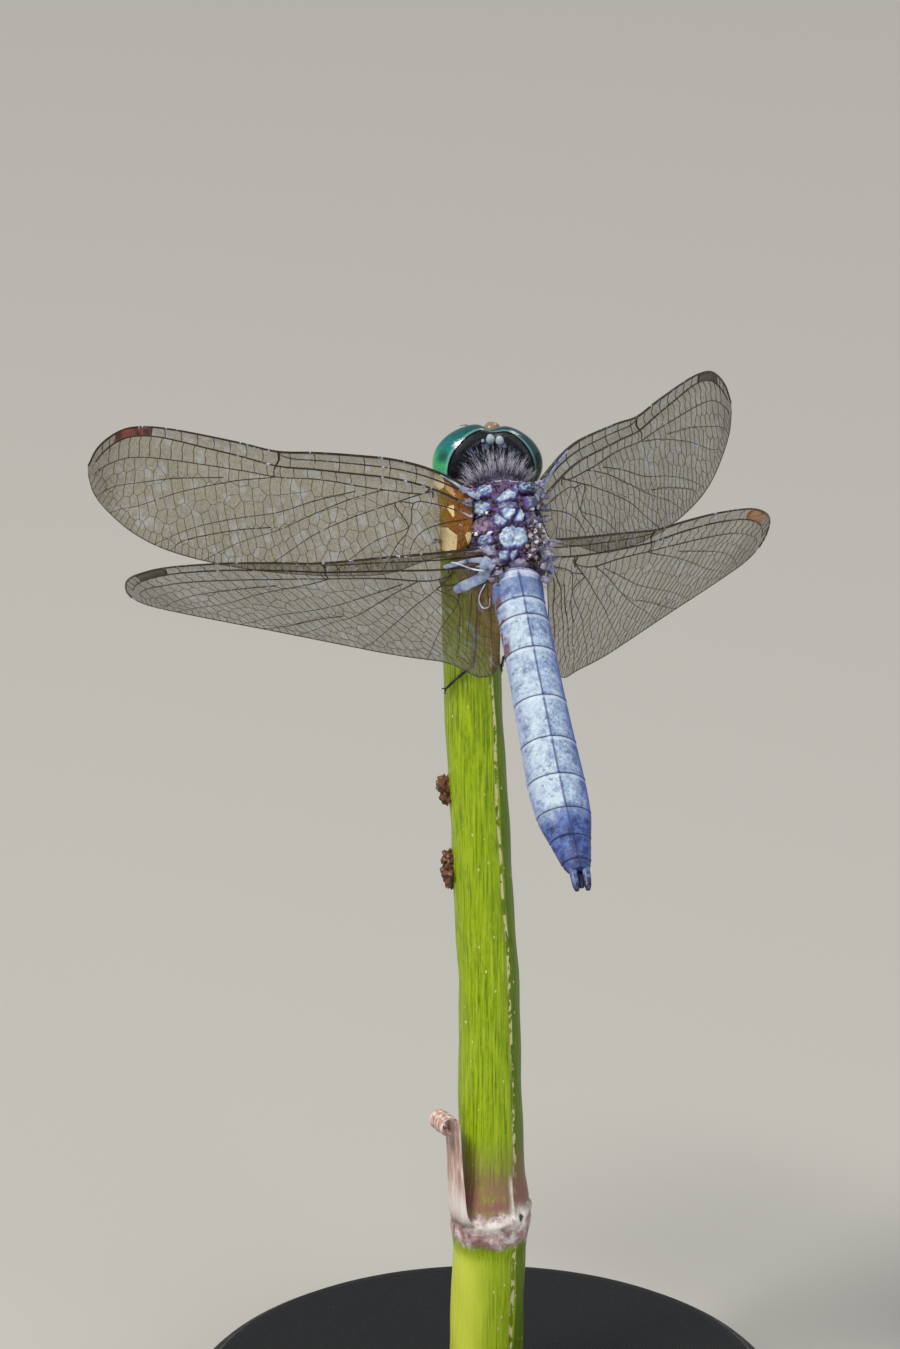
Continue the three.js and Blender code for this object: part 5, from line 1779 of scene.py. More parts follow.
def makeLeg(name, plan, material):
    look = legLook
    hip = np.array(plan["hip"])
    axis = np.array(look["stemAxis"])
    foot = np.array(plan["foot"])
    # the foot closes on the stem's surface
    away = foot[:2] - axis
    foot[:2] = axis + unit(away) * (look["stemRadius"] + 0.1)
    knee, ankle, foot = (levelToBody(p) for p in (plan["knee"], plan["ankle"], foot))
    coxa = limbTube(hip + (0, 0, 0.75), hip - (0, 0, 0.1), look["coxa"], 0.05)[0]
    femur, femurLine, femurRadii = limbTube(hip, knee, look["femur"], -0.12)
    tibia, tibiaLine, tibiaRadii = limbTube(knee, ankle, look["tibia"], 0.1)
    tarsus, tarsusLine = limbTube(ankle, foot, look["tarsus"], -0.06, 14)[:2]
    pieces = [coxa, femur, tibia, tarsus, roundBall(knee, look["kneeBall"], 16, 10),
              roundBall(ankle, look["ankleBall"], 14, 9)]

    lines = []
    pick = random.Random(sum(map(ord, name)))
    for line, radii, first, length in ((femurLine, femurRadii, 5, 0.55), (tibiaLine, tibiaRadii, 2, 1.0)):
        along = unit(line[-1] - line[0])
        under = unit(np.cross(along, (1, 0, 0)))
        across = np.cross(along, under)
        for index in range(first, 18, 2):
            for sign in (-1, 1):
                out = unit(across * sign * 0.85 + under * 0.5 * pick.uniform(0.7, 1.2))
                reach = look["spine"] * length * pick.uniform(0.8, 1.1) * (1 - 0.25 * index / 18)
                start = line[index] + out * radii[index] * 0.7
                way = out * 0.62 + along * 0.78
                lines.append(([start, start + way * reach * 0.55, start + (way + along * 0.12) * reach],
                              [look["spineRadius"], look["spineRadius"] * 0.7, 0.004]))
    along = unit(foot - ankle)
    inward = unit(levelToBody(np.append(-away, 0)))
    across = unit(np.cross(along, inward))
    for sign in (-1, 1):
        base = foot + across * 0.04 * sign
        hook = [base, base + along * 0.14 + across * 0.07 * sign,
                base + along * look["claw"] * 0.75 + across * 0.15 * sign + inward * 0.04,
                base + along * look["claw"] * 0.85 + across * 0.16 * sign + inward * 0.2]
        lines.append((throughPoints(hook, 4), np.linspace(0.05, 0.008, 13)))
    for k in (4, 9, 14):
        pieces.append(roundBall(tarsusLine[k], look["footKnot"], 12, 8))
    spines = linesToMesh(lines, 1)
    smoothOutside(spines)
    pieces.append(spines)
    nodes = [f"{name}_{part}" for part in ("femur", "tibia", "tarsus")]
    finishPiece(joinPieces(pieces), name, bodyPlace, [material], nodes)


legBlack = makeLegMaterial()
for legName, legPlan in legPlans.items():
    makeLeg(legName, legPlan, legBlack)
print("legs are made")


# clasping tips at the end of the abdomen

tipPlan = {
    "length": 1.42,
    "start": (0.35, -23.42, -0.06),
    "cercus": (0.24, 0.25, 0.24, 0.23, 0.22, 0.2, 0.12),
    "middle": (0.24, 0.3, 0.3, 0.26, 0.14),
}


def makeTipMaterial(name, dusting):
    kit = Surface(name, Roughness=0.35)
    spot = kit.place(bodyPlace)
    grain, tooth = kit.grain(spot, 10.0)
    bloom = kit.bloom(spot, 2.4, 14.0, 0.44)[0]
    color = kit.mix((0.05, 0.05, 0.1), (0.2, 0.2, 0.34), grain)
    upper = kit.put("NewGeometry").outputs["Normal"]
    upper = kit.spread(kit.axis(upper, 2), -0.1, 0.6)
    dust = kit.times(upper, kit.plus(bloom, 0.25))
    color = kit.mix(color, (0.5, 0.58, 0.82), kit.times(dust, dusting))
    along = kit.axis(spot, 1)
    color = kit.tint(color, (0.13, 0.09, 0.2), along, -24.0, -24.7, 0.75)
    kit.feed("Roughness", kit.spread(bloom, 0, 1, 0.26, 0.5))
    return kit.finish(color, tooth, 0.6, 0.04)


def makeTips():
    material = makeTipMaterial("tipBlack", 0.75)
    x, y, z = tipPlan["start"]

    def addTip(name, node, points, widths, flat, finish):
        line = throughPoints(points, 6)
        tube = rolledTube(barRings(line, readAlong(widths, len(line)), 18, flat))
        finishPiece(tube, name, bodyPlace, [finish], [node])

    for name, side in (("cercus_left", -1), ("cercus_right", 1)):
        points = [(x + side * 0.37, y + 0.35, z + 0.06), (x + side * 0.38, y - 0.3, z + 0.14),
                  (x + side * 0.36, y - 0.9, z + 0.1), (x + side * 0.32, y - tipPlan["length"], z)]
        addTip(name + "_shell", name, points, tipPlan["cercus"], 0.85, material)
    # the epiproct is kept nearly bare of dust so that it stands near-black, painted shadow between the cerci
    points = [(x, y + 0.2, z - 0.22), (x, y - 0.5, z - 0.2), (x, y - 1.15, z - 0.12)]
    addTip("epiproct_shell", "epiproct", points, tipPlan["middle"], 0.5,
           makeTipMaterial("epiproctPaintedShadow", 0.08))


makeTips()
print("the tail's tips are made")


# hair

hairLook = {
    "seed": 11,
    "width": 0.017,
    "patch": 0.003,           # each tuft's share of the unwrap
    "fringe": 420,
    "fringeLength": (0.9, 1.75),
    "thorax": 1500,
    "thoraxLength": (0.35, 0.85),
    "headRear": 420,
    "face": 260,
    "abdomen": 500,
}


def bodyPoint(y, angle):
    # a point on the trunk and the way straight out of it
    half, top, bottom, aside, waist = sectionAt(y)
    rise = np.sin(angle)
    lift = np.where(rise > 0, top - waist, waist - bottom)
    x = aside + half * np.cos(angle) * (1 - 0.12 * np.maximum(rise, 0))
    point = np.stack([x, y, waist + lift * rise], -1)
    out = np.stack([np.cos(angle) / half, 0 * y, rise / lift], -1)
    return point, unit(out)


def makeTufts(name, roots, ways, lengths, droops, homes, material, place):
    # fine tapering tufts joined into one mesh, each with its own small patch on the unwrap
    roots, ways, droops = (np.asarray(v, float) for v in (roots, ways, droops))
    count = len(roots)
    ways = unit(ways)
    across = unit(np.cross(ways, droops + (0.013, 0.007, 0.011)))
    over = np.cross(ways, across)
    steps = np.array([0, 0.35, 0.7])
    thick = hairLook["width"] * np.array([1.0, 0.8, 0.45])
    turns = np.array([0, 2.1, 4.2])
    lengths = np.asarray(lengths, float)[:, None, None]
    line = roots[:, None] + ways[:, None] * steps[None, :, None] * lengths
    line = line + droops[:, None] * (steps ** 2)[None, :, None] * lengths
    ring = (line[:, :, None]
            + (thick[:, None] * np.cos(turns))[None, :, :, None] * across[:, None, None]
            + (thick[:, None] * np.sin(turns))[None, :, :, None] * over[:, None, None])
    tips = (roots + ways * lengths[:, 0] + droops * lengths[:, 0])[:, None]
    points = np.concatenate([ring.reshape(count, 9, 3), tips], axis=1).reshape(-1, 3)
    faces = [(2, 1, 0)]
    for low in (0, 3):
        faces += [(low + k, low + (k + 1) % 3, low + 3 + (k + 1) % 3, low + 3 + k) for k in range(3)]
    faces += [(6 + k, 6 + (k + 1) % 3, 9) for k in range(3)]
    allFaces = [tuple(i * 10 + v for v in face) for i in range(count) for face in faces]
    mesh = bpy.data.meshes.new(name)
    mesh.from_pydata(points.tolist(), [], allFaces)
    piece = bpy.data.objects.new(name, mesh)
    bpy.context.scene.collection.objects.link(piece)
    plane = mesh.uv_layers.new(name="OFBake")
    loopVertex = np.zeros(len(mesh.loops), int)
    mesh.loops.foreach_get("vertex_index", loopVertex)
    local = np.array([(0, 0), (1, 0), (0.5, 0.3), (0, 0.4), (1, 0.4), (0.5, 0.6), (0.2, 0.75), (0.8, 0.75),
                      (0.5, 0.85), (0.5, 1.0)]) * hairLook["patch"]
    homes = np.clip(np.asarray(homes, float), 0.002, 0.994)
    plane.data.foreach_set("uv", (homes[loopVertex // 10] + local[loopVertex % 10]).ravel())
    height = mesh.attributes.new("tip", "FLOAT", "POINT")
    height.data.foreach_set("value", np.tile([0, 0, 0, .35, .35, .35, .7, .7, .7, 1.0], count))
    smoothOutside(piece)
    finishPiece(piece, name, place, [material])


def makeHairMaterial(name, root, tip, place):
    kit = Surface(name, Roughness=0.45)
    kit.feed("Sheen Weight", 0.3)
    spot = kit.place(place)
    vary = kit.cloud(spot, 3.0, 3.0)
    low = kit.mix(tuple((c * 0.5 for c in root)), root, vary)
    high = kit.mix(tuple((c * 0.8 for c in tip)), tip, vary)
    color = kit.tint(low, high, kit.mark("tip"), 0.05, 0.8)
    color = kit.tint(color, tuple((c * 0.4 for c in root)), vary, 0.54, 0.62, 0.75)
    return kit.finish(color, vary, 0.2, 0.01)


def makeHair():
    look = hairLook
    rng = np.random.default_rng(look["seed"])
    pale = makeHairMaterial("hairPale", (0.60, 0.54, 0.66), (0.96, 0.93, 1.0), bodyPlace)
    grey = makeHairMaterial("hairGrey", (0.12, 0.12, 0.16), (0.72, 0.76, 0.86), headPlace)
    cream = makeHairMaterial("hairCream", (0.30, 0.24, 0.18), (0.80, 0.74, 0.62), headPlace)

    # the fringe that fans up from the collar over the back of the head
    count = look["fringe"]
    u = rng.uniform(-1, 1, count)
    row = rng.integers(0, 3, count)
    arch = 1 - np.abs(u) ** 2.4
    roots = np.stack([-0.2 + collarPlan["halfWidth"] * u,
                      collarPlan["ahead"] + 0.02 - 0.12 * row - 0.22 * u * u,
                      0.42 - 1.25 * (1 - np.sqrt(1 - 0.8 * u * u)) + (0.62 - 0.07 * row) * arch], -1)
    ways = np.stack([0.75 * u + rng.normal(0, 0.12, count), 0.55 + rng.normal(0, 0.12, count),
                     0.9 - 0.5 * np.abs(u) + rng.normal(0, 0.1, count)], -1)
    lengths = rng.uniform(*look["fringeLength"], count) * (1 - 0.35 * np.abs(u))
    clump = 0.5 + 0.5 * np.sin(u * 23)
    ways[:, 0] += 0.2 * np.cos(u * 23)
    lengths *= 0.75 + 0.35 * clump
    droops = np.stack([0.1 * u, 0.16 + 0 * u, -0.1 + 0 * u], -1)
    homes = np.stack([0.25 - 0.1 * u, 0.96 - 0.01 * row], -1)
    makeTufts("hair_collar", roots, ways, lengths, droops, homes, pale, bodyPlace)

    # soft hair over the thorax's sides and front, and short hair between the plates of its back
    count = look["thorax"]
    y = rng.uniform(-3.0, 3.6, count)
    angle = rng.uniform(-2.9, 6.0, count)
    short = np.where(np.sin(angle) > 0.4, 0.4, 1.0)
    roots, out = bodyPoint(y, angle)
    ways = out + np.stack([0 * y, np.where(y > 1.5, 0.5, -0.35), -0.1 + 0 * y], -1)
    ways += rng.normal(0, 0.18, ways.shape)
    lengths = rng.uniform(*look["thoraxLength"], count) * short
    droops = np.stack([0 * y, -0.12 + 0 * y, -0.12 + 0 * y], -1)
    homes = np.stack([(angle / (2 * math.pi)) % 1, (y + 23.6) / 28.7], -1)
    makeTufts("hair_thorax", roots - out * 0.04, ways, lengths, droops, homes, pale, bodyPlace)

    # very short bristles along the abdomen's sides and belly
    count = look["abdomen"]
    y = rng.uniform(-23.3, -3.6, count)
    angle = np.where(rng.random(count) < 0.5, rng.uniform(-2.6, -0.1, count), rng.uniform(3.2, 5.8, count))
    roots, out = bodyPoint(y, angle)
    ways = out + np.stack([0 * y, -0.9 + 0 * y, 0 * y], -1) + rng.normal(0, 0.1, roots.shape)
    homes = np.stack([(angle / (2 * math.pi)) % 1, (y + 23.6) / 28.7], -1)
    makeTufts("hair_abdomen", roots - out * 0.03, ways, rng.uniform(0.12, 0.26, count),
              np.tile((0, -0.1, 0), (count, 1)), homes, pale, bodyPlace)

    # streaks of hair that lean in from the rim of the head's back
    count = look["headRear"]
    turn = rng.uniform(0, 2 * math.pi, count)
    share = rng.uniform(0.42, 0.86, count)
    clump = np.round(turn / 0.16) * 0.16
    turn = turn * 0.45 + clump * 0.55
    rise = np.sin(turn)
    roots = np.stack([2.72 * share * np.cos(turn) * (1 - 0.16 * np.maximum(0, -rise)),
                      -0.62 - 0.28 * share, 1.98 * share * rise], -1)
    ways = np.stack([-0.35 * np.cos(turn), -0.85 + 0 * turn, -0.3 * rise], -1)
    ways += rng.normal(0, 0.14, ways.shape)
    lengths = rng.uniform(0.28, 0.62, count)
    droops = np.stack([-0.25 * np.cos(turn), 0 * turn, -0.25 * rise], -1)
    homes = np.stack([turn / (2 * math.pi) % 1, 0.2 + 0.5 * share], -1)
    makeTufts("hair_head_rear", roots, ways, lengths, droops, homes, grey, headPlace)

    # short bristles over the face, longest on the brow
    count = look["face"]
    height = rng.uniform(-1.9, 1.3, count)
    turn = rng.uniform(0.35, math.pi - 0.35, count)
    levels = np.array([level[0] for level in faceLevels])[::-1]
    halfAt = np.interp(height, levels, np.array([level[1] for level in faceLevels])[::-1])
    reachAt = np.interp(height, levels, np.array([level[2] for level in faceLevels])[::-1])
    roots = np.stack([halfAt * np.cos(turn), 0.75 + (reachAt - 0.75) * np.sin(turn) ** 0.75, height], -1)
    ways = np.stack([0.6 * np.cos(turn), 0.8 + 0 * turn, 0.45 * (height > 0.6) - 0.1], -1)
    ways += rng.normal(0, 0.15, ways.shape)
    lengths = np.where(height > 0.9, 0.42, 0.22) * rng.uniform(0.7, 1.1, count)
    homes = np.stack([turn / (2 * math.pi), (height + 2.2) / 4.4], -1)
    makeTufts("hair_face", roots, ways, lengths, np.tile((0, 0, -0.1), (count, 1)), homes, cream, headPlace)


makeHair()
print("the hair is made")


# the stem, its leaf scale and the crusts on it

# levels under the thorax centre, with the stem's sideways bow and radius
stemPlan = {
    "levels": [(-57.0, 0.06, 2.28), (-49.9, 0.3, 2.25), (-47.9, 0.36, 2.5), (-45.1, 0.42, 2.04),
               (-32.0, 0.2, 1.87), (-18.4, -0.52, 1.8), (-9.0, -0.93, 1.76), (-0.4, -1.05, 1.74)],
    "step": 0.22,
    "sides": 132,
    "ribs": 33,
    "ribHeight": 0.028,
    "seamTurn": -56.5,        # where the flecked seam runs, in degrees round the stem
    "showTurn": -100,         # the side that shows most
    "nodeLevel": -47.9,
    # the cut top from its rim in: share of the radius, and how far it lies below the rim
    "cutLevels": [(0.985, 0.0), (0.93, -0.03), (0.86, -0.12), (0.74, -0.16), (0.66, -0.24), (0.4, -0.32),
                  (0.12, -0.36)],
}
scalePlan = {
    "foot": (-2.02, -1.15, -47.6),
    "turn": 200,              # which way it faces, in degrees round the stem
    "lean": 0.1,
    "bow": 0.5,
    "roll": 0.62,
    "height": 7.5,
    "halfWidth": 0.95,
    "thickness": 0.34,
}
crustPlan = [   # level, turn round the stem in degrees, size
    (-19.3, 172, 0.52), (-20.0, 178, 0.4), (-24.1, 170, 0.46), (-24.9, 176, 0.58), (-25.6, 171, 0.42),
]


def stemRow(level):
    # the stem's sideways bow and radius at a level
    rows = np.array(stemPlan["levels"])
    return [np.interp(level, rows[:, 0], rows[:, k]) for k in (1, 2)]


def stemPlace():
    # levels along the stem count from the thorax centre's height
    return rowPlace @ Matrix.Translation((0, 0, bodyPlan["centre"][2]))


def makeStemMaterial():
    kit = Surface("stemGreen", Roughness=0.34)
    kit.feed("Specular IOR Level", 0.3)
    kit.feed("Subsurface Weight", 0.08)
    kit.feed("Subsurface Radius", (0.6, 0.8, 0.2))
    kit.feed("Subsurface Scale", 0.001)
    spot = kit.place(stemPlace())
    height = kit.axis(spot, 2)
    strand = kit.cloud(kit.stretch(spot, (3.2, 3.2, 0.16)), 2.0, 5.0, 0.6)
    thread = kit.cloud(kit.stretch(spot, (11, 11, 0.2)), 1.0, 3.0)
    cloud = kit.cloud(spot, 0.16, 4.0)
    grain = kit.grain(spot, 6.0, (1, 1, 0.35))[0]
    green = kit.tint((0.42, 0.56, 0.0), (0.7, 0.83, 0.0), strand, 0.28, 0.74)
    green = kit.tint(green, (0.76, 0.82, 0.14), grain, 0.38, 0.66, 0.5)
    green = kit.tint(green, (0.6, 0.72, 0.0), cloud, 0.4, 0.62, 0.5)
    green = kit.tint(green, (0.84, 0.86, 0.34), thread, 0.54, 0.66, 0.35)
    green = kit.tint(green, (0.26, 0.38, 0.0), thread, 0.46, 0.34, 0.55)
    # low on the stem it turns pale yellow, strongest on the left side as painted light
    low = kit.spread(kit.plus(height, strand), -50.2, -48.4, 0.9, 0.0)
    paintedLitLeft = kit.spread(kit.axis(spot, 0), -1.7, 0.4, 1.0, 0.15)
    green = kit.mix(green, (0.9, 0.94, 0.34), kit.times(low, paintedLitLeft))
    green = kit.mix(green, (0.2, 0.34, 0.04), kit.mark("shadeSide"), 0.7)
    # pale flecks along the seam
    seam = kit.mark("seam")
    flecks = kit.stretch(spot, (3.0, 3.0, 1.5))
    fleck = kit.cloud(flecks, 1.1, 3.0)
    pale = kit.times(kit.spread(seam, 0.3, 0.6), kit.spread(fleck, 0.46, 0.52))
    green = kit.mix(green, (0.3, 0.34, 0.06), kit.spread(seam, 0.1, 0.6), 0.5)
    green = kit.mix(green, (0.93, 0.9, 0.66), pale)
    speck = kit.cells(flecks, 0.6, "Distance")
    green = kit.tint(green, (0.92, 0.92, 0.7), speck, 0.11, 0.06)
    # the node: a pinkish ring, its white streaks and white patches painted as highlights
    node = kit.mark("node")
    rough = kit.cloud(spot, 0.9, 6.0, 0.75)
    pink = kit.tint((0.58, 0.4, 0.42), (0.9, 0.79, 0.77), rough, 0.38, 0.6)
    pink = kit.tint(pink, (0.97, 0.95, 0.93), rough, 0.53, 0.6)
    pink = kit.tint(pink, (0.34, 0.18, 0.2), rough, 0.4, 0.3, 0.6)
    blush = kit.times(kit.mark("blush"), kit.spread(rough, 0.3, 0.55, 0.45, 1.0))
    green = kit.mix(green, (0.62, 0.41, 0.4), blush, 0.95)
    ragged = kit.plus(node, kit.times(kit.minus(rough, 0.5), 1.5))
    color = kit.tint(green, pink, ragged, 0.2, 0.8)
    paintedGlare = kit.times(kit.mark("paintedGlare"), kit.spread(rough, 0.36, 0.56, 0.35, 1.0))
    color = kit.mix(color, (1.0, 0.98, 0.95), paintedGlare)
    color = kit.tint(color, (0.36, 0.3, 0.1), kit.mark("bud"), 0.35, 0.7)
    # the cut top
    cut = kit.mark("cutFace")
    cork = kit.mix((0.7, 0.66, 0.42), (0.9, 0.88, 0.7), grain)
    color = kit.mix(color, cork, cut)
    kit.feed("Roughness", kit.spread(strand, 0.3, 0.7, 0.26, 0.44))
    relief = kit.plus(kit.times(strand, 0.7), kit.times(thread, 0.5))
    relief = kit.plus(relief, kit.times(kit.times(rough, node), 1.6))
    return kit.finish(color, relief, 0.55, 0.1)


def makeStem():
    plan = stemPlan
    foot, top = plan["levels"][0][0], plan["levels"][-1][0]
    levels = np.append(np.arange(foot, top, plan["step"]), top)
    aside, radius = stemRow(levels)
    turn = np.linspace(0, 2 * math.pi, plan["sides"], endpoint=False)
    seamAt = math.radians(plan["seamTurn"])
    apart = (turn - seamAt + math.pi) % (2 * math.pi) - math.pi
    rise = levels[:, None]
    wander = 0.05 * np.sin(rise * 0.21) + 0.02 * np.sin(rise * 0.9)
    seam = bell(apart[None, :] + wander, 0.07)
    ribs = 0.5 + 0.5 * np.cos(turn * plan["ribs"])
    node = np.exp(-((rise - plan["nodeLevel"] + 0.1) / 1.25) ** 4)
    facing = turn - math.radians(plan["showTurn"])
    facing = (facing + math.pi) % (2 * math.pi) - math.pi
    scar = rise - plan["nodeLevel"] - 0.55 - 0.16 * np.cos(turn * 2 + 0.6)
    lipped = bell(scar, 0.2) * 0.15 - bell(scar - 0.34, 0.16) * 0.1
    lipped = lipped + bell(scar + 1.3, 0.2) * 0.06
    spur = bell(facing - 0.62, 0.05) * within(rise, -47.6, -47.0, -45.2, -44.2)
    bud = bell(facing - 0.86, 0.11) * bell(rise + 47.35, 0.3)
    lipped = lipped + 0.14 * spur - 0.3 * bud
    lipped = lipped + 0.16 * bell(facing - 0.86, 0.3) * bell(rise + 47.6, 0.7)
    # white patches by the bud, the scar and the spur, painted as highlights
    flare = bell(facing - 0.8, 0.26) * bell(rise + 47.0, 0.4)
    paintedGlare = flare + np.clip(bell(scar + 0.1, 0.3) * (1.15 - 0.4 * np.abs(facing)) + 1.1 * spur, 0, 1)
    waver = 0.03 * np.sin(rise * 0.5 + turn * 3) + 0.02 * np.sin(rise * 1.3 + turn * 5)
    offset = plan["ribHeight"] * (ribs[None, :] - 1) * (1 - 0.7 * node) - 0.07 * seam * (1 - node)
    offset = offset + lipped * (1 + 0.3 * np.sin(turn * 3)[None, :]) + waver - 0.06
    out = radius[:, None] + offset
    x = aside[:, None] + out * np.cos(turn)
    y = out * np.sin(turn)
    rings = np.stack([x, y, rise + 0 * x], -1)
    blush = within(rise, -47.5, -46.5, -46.4, -41.5)
    shadeSide = smoothStep(apart, 0.03, 0.1) * smoothStep(-apart, -2.2, -1.9) * (1 - node)
    marks = {"seam": seam * (1 - node), "node": node, "paintedGlare": paintedGlare, "bud": bud, "blush": blush,
             "shadeSide": shadeSide, "cutFace": 0}
    # the cut: a rim, a shallow dish and a softer middle
    top = rings[-1]
    centre = np.array([aside[-1], 0, levels[-1]])
    caps = []
    capMarks = []
    for share, drop in plan["cutLevels"]:
        wobble = 0.03 * np.sin(turn * 7 + share * 9)[:, None]
        lower = drop + wobble * (share < 0.9)
        caps.append(centre + (top - centre) * share + np.array([0, 0, 1.0]) * lower)
        capMarks.append(smoothStep(np.array([1 - share]), 0.05, 0.15)[0])
    rings = np.concatenate([rings, np.array(caps)])
    for key in marks:
        fill = np.zeros((len(caps), plan["sides"]))
        if key == "cutFace":
            fill += np.array(capMarks)[:, None]
        marks[key] = np.concatenate([np.broadcast_to(marks[key], x.shape), fill])
    finishPiece(rolledTube(rings, marks), "stem_skin", stemPlace(), [makeStemMaterial()],
                ["perch_lower", "perch_node", "perch_upper"])


def makeScaleMaterial():
    kit = Surface("leafScale", Roughness=0.4)
    spot = kit.place(stemPlace())
    height = kit.axis(spot, 2)
    strand = kit.cloud(kit.stretch(spot, (3.0, 3.0, 0.3)), 1.6, 5.0)
    tooth = kit.grain(spot, 6.0, (1, 1, 0.4))[1]
    dry = kit.tint((0.72, 0.55, 0.5), (0.9, 0.78, 0.73), strand, 0.35, 0.62)
    dry = kit.tint(dry, (0.99, 0.96, 0.94), strand, 0.5, 0.7)
    dry = kit.tint(dry, (0.99, 0.95, 0.93), height, -44.2, -46.4, 0.75)
    kit.feed("Roughness", kit.spread(strand, 0.3, 0.7, 0.28, 0.45))
    return kit.finish(dry, kit.plus(strand, tooth), 0.35, 0.05)


def makeScale():
    # a dry leaf scale, cupped round the stem, its tip rolled outward
    plan = scalePlan
    footX, footY, footZ = plan["foot"]
    turn = math.radians(plan["turn"])
    outX, outY = math.cos(turn), math.sin(turn)
    line = [(0.02 * math.sin(t * 9) + plan["lean"] * t - plan["bow"] * t * t + 0.5 * math.exp(-t / 0.05),
             plan["height"] * t)
            for t in np.linspace(0, 0.9, 22)]
    endX, endZ = line[-1]
    radius = plan["roll"]
    for curl in np.linspace(0.25, 4.9, 18):
        line.append((endX - radius * (1 - math.cos(curl)), endZ + radius * math.sin(curl)))
        radius *= 0.975
    line = np.array(line)
    along = unit(np.gradient(line, axis=0))
    rings = []
    for index, ((x, z), (wayX, wayZ)) in enumerate(zip(line, along)):
        t = index / (len(line) - 1)
        width = plan["halfWidth"] * (1.1 - 0.35 * t) * (1 if t < 0.95 else 0.8)
        width *= 1 + 0.25 * math.exp(-t / 0.06)
        ring = []
        for spin in np.linspace(0, 2 * math.pi, 26, endpoint=False):
            across = math.cos(spin)
            cup = 0.24 * (1 - across * across) * (1 - 0.7 * t) - 0.1
            ripple = 0.03 * math.sin(across * 8 + t * 9)
            bulge = 0.45 + 0.55 * math.sqrt(max(0, 1 - across * across))
            out = plan["thickness"] * math.sin(spin) / 2 * bulge + ripple - cup
            away = -(x + out * wayZ)
            aside = width * across
            ring.append((footX + away * outX - aside * outY, footY + away * outY + aside * outX,
                         footZ + z - out * wayX))
        rings.append(ring)
    finishPiece(rolledTube(rings), "leaf_scale", stemPlace(), [makeScaleMaterial()],
                ["perch_sheath"])


def makeCrustMaterial():
    kit = Surface("crustBrown", Roughness=0.75)
    spot = kit.place(stemPlace())
    cells = kit.cells(spot, 2.6, "Distance")
    grain, tooth = kit.grain(spot, 4.0)
    color = kit.mix((0.17, 0.08, 0.05), (0.56, 0.37, 0.27), grain)
    color = kit.tint(color, (0.74, 0.6, 0.48), cells, 0.45, 0.2, 0.5)
    return kit.finish(color, kit.plus(tooth, cells), 0.8, 0.12)


def makeCrusts():
    lumps = []
    for index, (level, turn, size) in enumerate(crustPlan):
        aside, radius = stemRow(level)
        angle = math.radians(turn)
        centre = Vector((aside + (radius + size * 0.25) * math.cos(angle),
                         (radius + size * 0.25) * math.sin(angle), level))
        lump = lumpyBall(centre, (size * 0.8, size * 0.95, size), 0.75, index)
        lumps.append(lump)
    finishPiece(joinPieces(lumps), "stem_crusts", stemPlace(), [makeCrustMaterial()])


makeStem()
makeScale()
makeCrusts()
print("the stem is made")


# the stand

standPlan = {
    "baseProfile": [   # from the underside's middle out and up to the top's middle, in mm
        (0, 0.35), (16.6, 0.35), (16.9, 0.3), (17.1, 0), (17.45, 0), (17.75, 0.12), (17.95, 0.45), (18, 0.9),
        (18, 2.85), (17.9, 3.2), (17.6, 3.5), (17.3, 3.58), (17.15, 3.7), (16.9, 3.93), (16.4, 4), (3.0, 4),
        (0, 4),
    ],
    "rodRadius": 1.1,
    "rodFoot": 4.0,
    "rodTop": 6.5,
    "steps": 160,
    "rodSteps": 96,
}


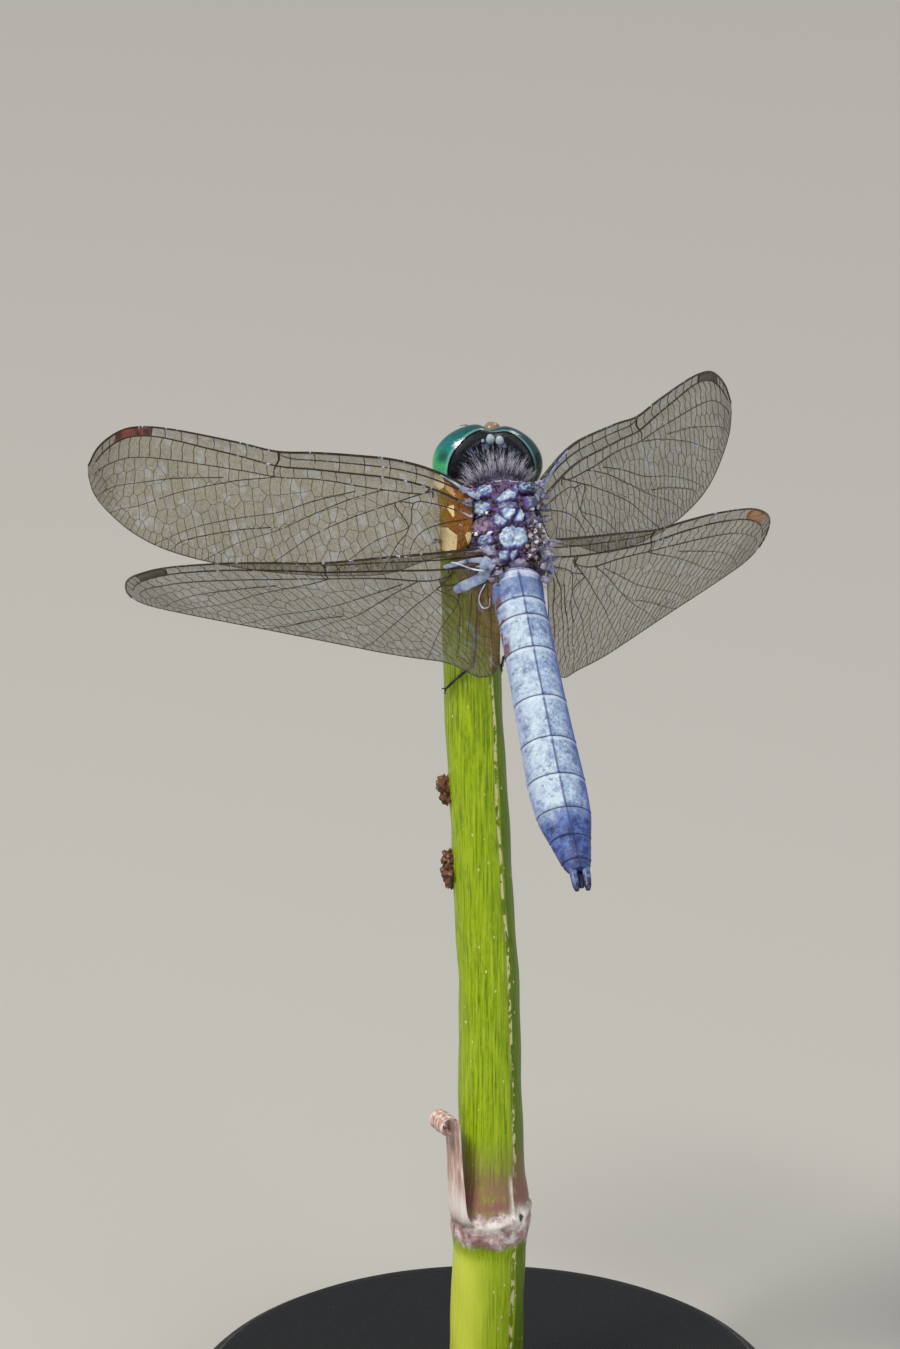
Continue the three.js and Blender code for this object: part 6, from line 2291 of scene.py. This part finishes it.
def spunPiece(profile, steps):
    # a profile in the front plane, spun once round the upright axis
    clearSelection()
    bpy.ops.mesh.primitive_plane_add(size=1)
    piece = bpy.context.object
    editAll(piece)
    bpy.ops.mesh.delete(type="VERT")
    work = bmesh.from_edit_mesh(piece.data)
    points = [work.verts.new((r, 0, z)) for r, z in profile]
    for a, b in zip(points, points[1:]):
        work.edges.new((a, b))
    bmesh.update_edit_mesh(piece.data)
    bpy.ops.mesh.select_all(action="SELECT")
    bpy.ops.mesh.spin(steps=steps, angle=2 * math.pi, center=(0, 0, 0), axis=(0, 0, 1))
    bpy.ops.mesh.select_all(action="SELECT")
    bpy.ops.mesh.remove_doubles(threshold=0.0005)
    bpy.ops.mesh.normals_make_consistent(inside=False)
    bpy.ops.object.mode_set(mode="OBJECT")
    bpy.ops.object.shade_smooth_by_angle(angle=math.radians(32))
    return piece


def makeBaseMaterial():
    kit = Surface("standBlack", Roughness=0.42)
    spot = kit.place(rowPlace)
    rings = kit.put("TexWave", {"Vector": spot, "Scale": 1.6, "Distortion": 0.6, "Detail": 2.0},
                    wave_type="RINGS", rings_direction="Z").outputs["Fac"]
    grain, tooth = kit.grain(spot, 1.5)
    speck = kit.cloud(spot, 5.0, 3.0)
    color = kit.mix((0.03, 0.03, 0.034), (0.085, 0.085, 0.09), grain)
    color = kit.tint(color, (0.32, 0.32, 0.33), speck, 0.66, 0.72, 0.4)
    kit.feed("Roughness", kit.spread(grain, 0.3, 0.7, 0.34, 0.52))
    return kit.finish(color, kit.plus(rings, tooth), 0.25, 0.05)


def makeSteelMaterial():
    kit = Surface("standSteel", Roughness=0.3)
    kit.feed("Metallic", 1.0)
    spot = kit.place(rowPlace)
    line = kit.cloud(kit.stretch(spot, (0.6, 0.6, 9.0)), 3.0, 3.0)
    kit.feed("Roughness", kit.spread(line, 0.3, 0.7, 0.22, 0.4))
    return kit.finish(kit.mix((0.6, 0.61, 0.63), (0.82, 0.83, 0.85), line), line, 0.3, 0.02)


def makeStand():
    plan = standPlan
    base = spunPiece(plan["baseProfile"], plan["steps"])
    finishPiece(base, "stand_base_turned", rowPlace, [makeBaseMaterial()], ["stand_base"])
    r, foot, top = plan["rodRadius"], plan["rodFoot"], plan["rodTop"]
    rod = spunPiece([(0, foot), (r + 0.35, foot), (r + 0.38, foot + 0.12), (r + 0.3, foot + 0.5),
                     (r + 0.05, foot + 0.62), (r, foot + 0.7), (r, top - 0.02), (r - 0.04, top), (0, top)],
                    plan["rodSteps"])
    finishPiece(rod, "stand_rod_turned", rowPlace, [makeSteelMaterial()], ["stand_rod"])


makeStand()
print("the stand is made")
